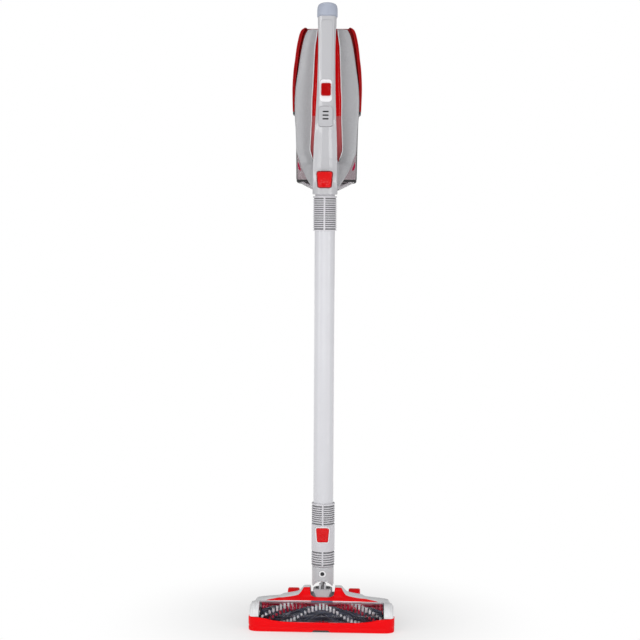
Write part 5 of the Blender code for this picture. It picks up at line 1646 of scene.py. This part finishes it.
class VacuumColours(bpy.types.PropertyGroup):
    """Colours of the mouldings and paints."""

    shell_grey: colour("Shell grey", "Light grey handle and neck mouldings", (0.47, 0.47, 0.49))
    collar_grey: colour("Collar grey", "Ribbed collars", (0.58, 0.57, 0.60))
    silver: colour("Silver", "Flake paint of the body shells", (0.37, 0.37, 0.385))
    head_silver: colour("Head silver", "Shell and cheeks of the floor head", (0.74, 0.745, 0.76))
    blue_grey: colour("Blue grey", "Cap at the top of the handle", (0.35, 0.38, 0.46))
    tube_paint: colour("Tube paint", "Paint of the long tube", (0.60, 0.60, 0.63))
    red: colour("Red", "Switch, buttons and latch", (0.62, 0.001, 0.002))
    head_red: colour("Head red", "Bumper, spear and wheel guards", (0.84, 0.001, 0.004))
    # The housing red is darkened to its shaded look: painted shade.
    shaded_housing_red: colour("Housing red in painted shade", "Motor housing", (0.36, 0.002, 0.004))
    shaded_red: colour("Red in painted shade", "Rims in shadow", (0.20, 0.003, 0.006))
    channel_red: colour("Channel red", "Valley beside the handle", (0.80, 0.003, 0.006))


class VACUUM_OT_materials(bpy.types.Operator):
    """Make every paint, plastic, rubber, metal and glass finish."""
    bl_idname = "vacuum.materials"
    bl_label = "Materials"

    def execute(self, context):
        make_materials(context.scene.vacuum_colours)
        return {"FINISHED"}


class VACUUM_OT_tube(bpy.types.Operator):
    """Build the painted tube."""
    bl_idname = "vacuum.tube"
    bl_label = "Tube"

    def execute(self, context):
        make_tube()
        return {"FINISHED"}


class VACUUM_OT_collars(bpy.types.Operator):
    """Build both ribbed collars and the rim round the lower button."""
    bl_idname = "vacuum.collars"
    bl_label = "Collars"

    def execute(self, context):
        make_collars(context.scene.vacuum_sizes)
        return {"FINISHED"}


class VACUUM_OT_buttons(bpy.types.Operator):
    """Build the two red release buttons."""
    bl_idname = "vacuum.buttons"
    bl_label = "Release buttons"

    def execute(self, context):
        make_buttons(context.scene.vacuum_sizes)
        return {"FINISHED"}


class VACUUM_OT_neck(bpy.types.Operator):
    """Build the swinging knuckle, its arch rim, ring and pin."""
    bl_idname = "vacuum.neck"
    bl_label = "Neck knuckle"

    def execute(self, context):
        make_neck()
        return {"FINISHED"}


class VACUUM_OT_yoke(bpy.types.Operator):
    """Build the tilting drum, its face plate and posts."""
    bl_idname = "vacuum.yoke"
    bl_label = "Tilting yoke"

    def execute(self, context):
        make_yoke()
        return {"FINISHED"}


class VACUUM_OT_shield(bpy.types.Operator):
    """Build the lower shell of the hand unit and its airways."""
    bl_idname = "vacuum.shield"
    bl_label = "Lower shell"

    def execute(self, context):
        make_shield()
        return {"FINISHED"}


class VACUUM_OT_side_shells(bpy.types.Operator):
    """Build the two silver side shells."""
    bl_idname = "vacuum.side_shells"
    bl_label = "Side shells"

    def execute(self, context):
        make_side_shells()
        return {"FINISHED"}


class VACUUM_OT_channel(bpy.types.Operator):
    """Build the red valley behind the handle."""
    bl_idname = "vacuum.channel"
    bl_label = "Channel"

    def execute(self, context):
        make_channel()
        return {"FINISHED"}


class VACUUM_OT_handle(bpy.types.Operator):
    """Build the handle's front, back and end cap."""
    bl_idname = "vacuum.handle"
    bl_label = "Handle"

    def execute(self, context):
        make_handle()
        return {"FINISHED"}


class VACUUM_OT_controls(bpy.types.Operator):
    """Build the sliding switch, indicator plate and lamps."""
    bl_idname = "vacuum.controls"
    bl_label = "Controls"

    def execute(self, context):
        make_controls()
        return {"FINISHED"}


class VACUUM_OT_motor_housing(bpy.types.Operator):
    """Build the red motor housing and its exhaust guard."""
    bl_idname = "vacuum.motor_housing"
    bl_label = "Motor housing"

    def execute(self, context):
        make_motor_housing()
        return {"FINISHED"}


class VACUUM_OT_dust_cup(bpy.types.Operator):
    """Build the clear cup, its vanes, its hinge ears and its seal."""
    bl_idname = "vacuum.dust_cup"
    bl_label = "Dust cup"

    def execute(self, context):
        make_dust_cup()
        return {"FINISHED"}


class VACUUM_OT_lid(bpy.types.Operator):
    """Build the faceted lid, its hinge, seal and latch."""
    bl_idname = "vacuum.lid"
    bl_label = "Cup lid"

    def execute(self, context):
        make_lid()
        return {"FINISHED"}


class VACUUM_OT_filter(bpy.types.Operator):
    """Build the pleated filter and its cone."""
    bl_idname = "vacuum.filter"
    bl_label = "Filter"

    def execute(self, context):
        make_filter()
        return {"FINISHED"}


class VACUUM_OT_head_shell(bpy.types.Operator):
    """Build the silver shell, the bead over the window and the plain badge."""
    bl_idname = "vacuum.head_shell"
    bl_label = "Head shell"

    def execute(self, context):
        make_head_shell()
        return {"FINISHED"}


class VACUUM_OT_spear(bpy.types.Operator):
    """Build the red spear over the head's front."""
    bl_idname = "vacuum.spear"
    bl_label = "Red spear"

    def execute(self, context):
        make_wedge()
        return {"FINISHED"}


class VACUUM_OT_window(bpy.types.Operator):
    """Build the clear window and the chamber wall behind it."""
    bl_idname = "vacuum.window"
    bl_label = "Brush window"

    def execute(self, context):
        make_window()
        return {"FINISHED"}


class VACUUM_OT_bumper(bpy.types.Operator):
    """Build the red bumper strip."""
    bl_idname = "vacuum.bumper"
    bl_label = "Bumper"

    def execute(self, context):
        make_bumper()
        return {"FINISHED"}


class VACUUM_OT_cheeks(bpy.types.Operator):
    """Build the fluted cheek at each end of the head."""
    bl_idname = "vacuum.cheeks"
    bl_label = "End cheeks"

    def execute(self, context):
        make_end_caps(context.scene.vacuum_sizes)
        return {"FINISHED"}


class VACUUM_OT_wheels(bpy.types.Operator):
    """Build the wheel guards and the treaded wheels."""
    bl_idname = "vacuum.wheels"
    bl_label = "Wheels"

    def execute(self, context):
        make_wheels()
        return {"FINISHED"}


class VACUUM_OT_brush(bpy.types.Operator):
    """Build the roller, its vanes and its bristle tufts."""
    bl_idname = "vacuum.brush"
    bl_label = "Brush"

    def execute(self, context):
        make_brush(context.scene.vacuum_sizes)
        return {"FINISHED"}


class VACUUM_OT_kept_parts(bpy.types.Operator):
    """Give every inner part that is kept as packed its finish."""
    bl_idname = "vacuum.kept_parts"
    bl_label = "Parts kept as packed"

    def execute(self, context):
        dress_kept_parts()
        return {"FINISHED"}


class VACUUM_OT_stage(bpy.types.Operator):
    """Set the pale floor, the soft lights, the background and the camera."""
    bl_idname = "vacuum.stage"
    bl_label = "Stage"

    def execute(self, context):
        stage_floor()
        stage_world(0.32)
        high = (0.0, 0.0, 0.75)
        low = (0.0, 0.0, 0.05)
        stage_light("key", (-1.3, -2.2, 1.9), high, 1.0, 1.2, 15.0)
        stage_light("fill", (1.7, -1.9, 1.1), high, 0.8, 1.4, 7.0)
        stage_light("top", (0.0, -0.2, 2.6), low, 1.4, 1.0, 11.0)
        stage_light("left strip", (-1.45, -0.95, 0.8), high, 0.22, 1.6, 7.0)
        stage_light("right strip", (1.45, -0.95, 0.8), high, 0.22, 1.6, 6.0)
        stage_light("low front", (0.0, -2.2, 0.45), low, 1.6, 0.5, 6.0)
        stage_camera()
        context.scene.view_settings.view_transform = "Standard"
        return {"FINISHED"}


class VACUUM_PT_panel(bpy.types.Panel):
    """Lists every step of the build in the 3D view's sidebar."""
    bl_idname = "VACUUM_PT_panel"
    bl_label = "Stick vacuum"
    bl_space_type = "VIEW_3D"
    bl_region_type = "UI"
    bl_category = "Vacuum"

    def draw(self, context):
        layout = self.layout
        for group in (context.scene.vacuum_sizes, context.scene.vacuum_colours):
            for key in group.__annotations__:
                layout.prop(group, key)
        for step in STEPS:
            layout.operator(step.bl_idname)


STEPS = (
    VACUUM_OT_materials, VACUUM_OT_tube, VACUUM_OT_collars, VACUUM_OT_buttons, VACUUM_OT_neck,
    VACUUM_OT_yoke, VACUUM_OT_shield, VACUUM_OT_side_shells, VACUUM_OT_channel, VACUUM_OT_handle,
    VACUUM_OT_controls, VACUUM_OT_motor_housing, VACUUM_OT_dust_cup, VACUUM_OT_lid,
    VACUUM_OT_filter, VACUUM_OT_head_shell, VACUUM_OT_spear, VACUUM_OT_window, VACUUM_OT_bumper,
    VACUUM_OT_cheeks, VACUUM_OT_wheels, VACUUM_OT_brush, VACUUM_OT_kept_parts, VACUUM_OT_stage,
)
CLASSES = (VacuumSizes, VacuumColours, *STEPS, VACUUM_PT_panel)


def register():
    for made in CLASSES:
        bpy.utils.register_class(made)
    bpy.types.Scene.vacuum_sizes = bpy.props.PointerProperty(type=VacuumSizes)
    bpy.types.Scene.vacuum_colours = bpy.props.PointerProperty(type=VacuumColours)


def unregister():
    del bpy.types.Scene.vacuum_colours
    del bpy.types.Scene.vacuum_sizes
    for made in reversed(CLASSES):
        bpy.utils.unregister_class(made)


def main():
    register()
    for step in STEPS:
        getattr(bpy.ops.vacuum, step.bl_idname.split(".")[1])()


if __name__ == "__main__":
    main()
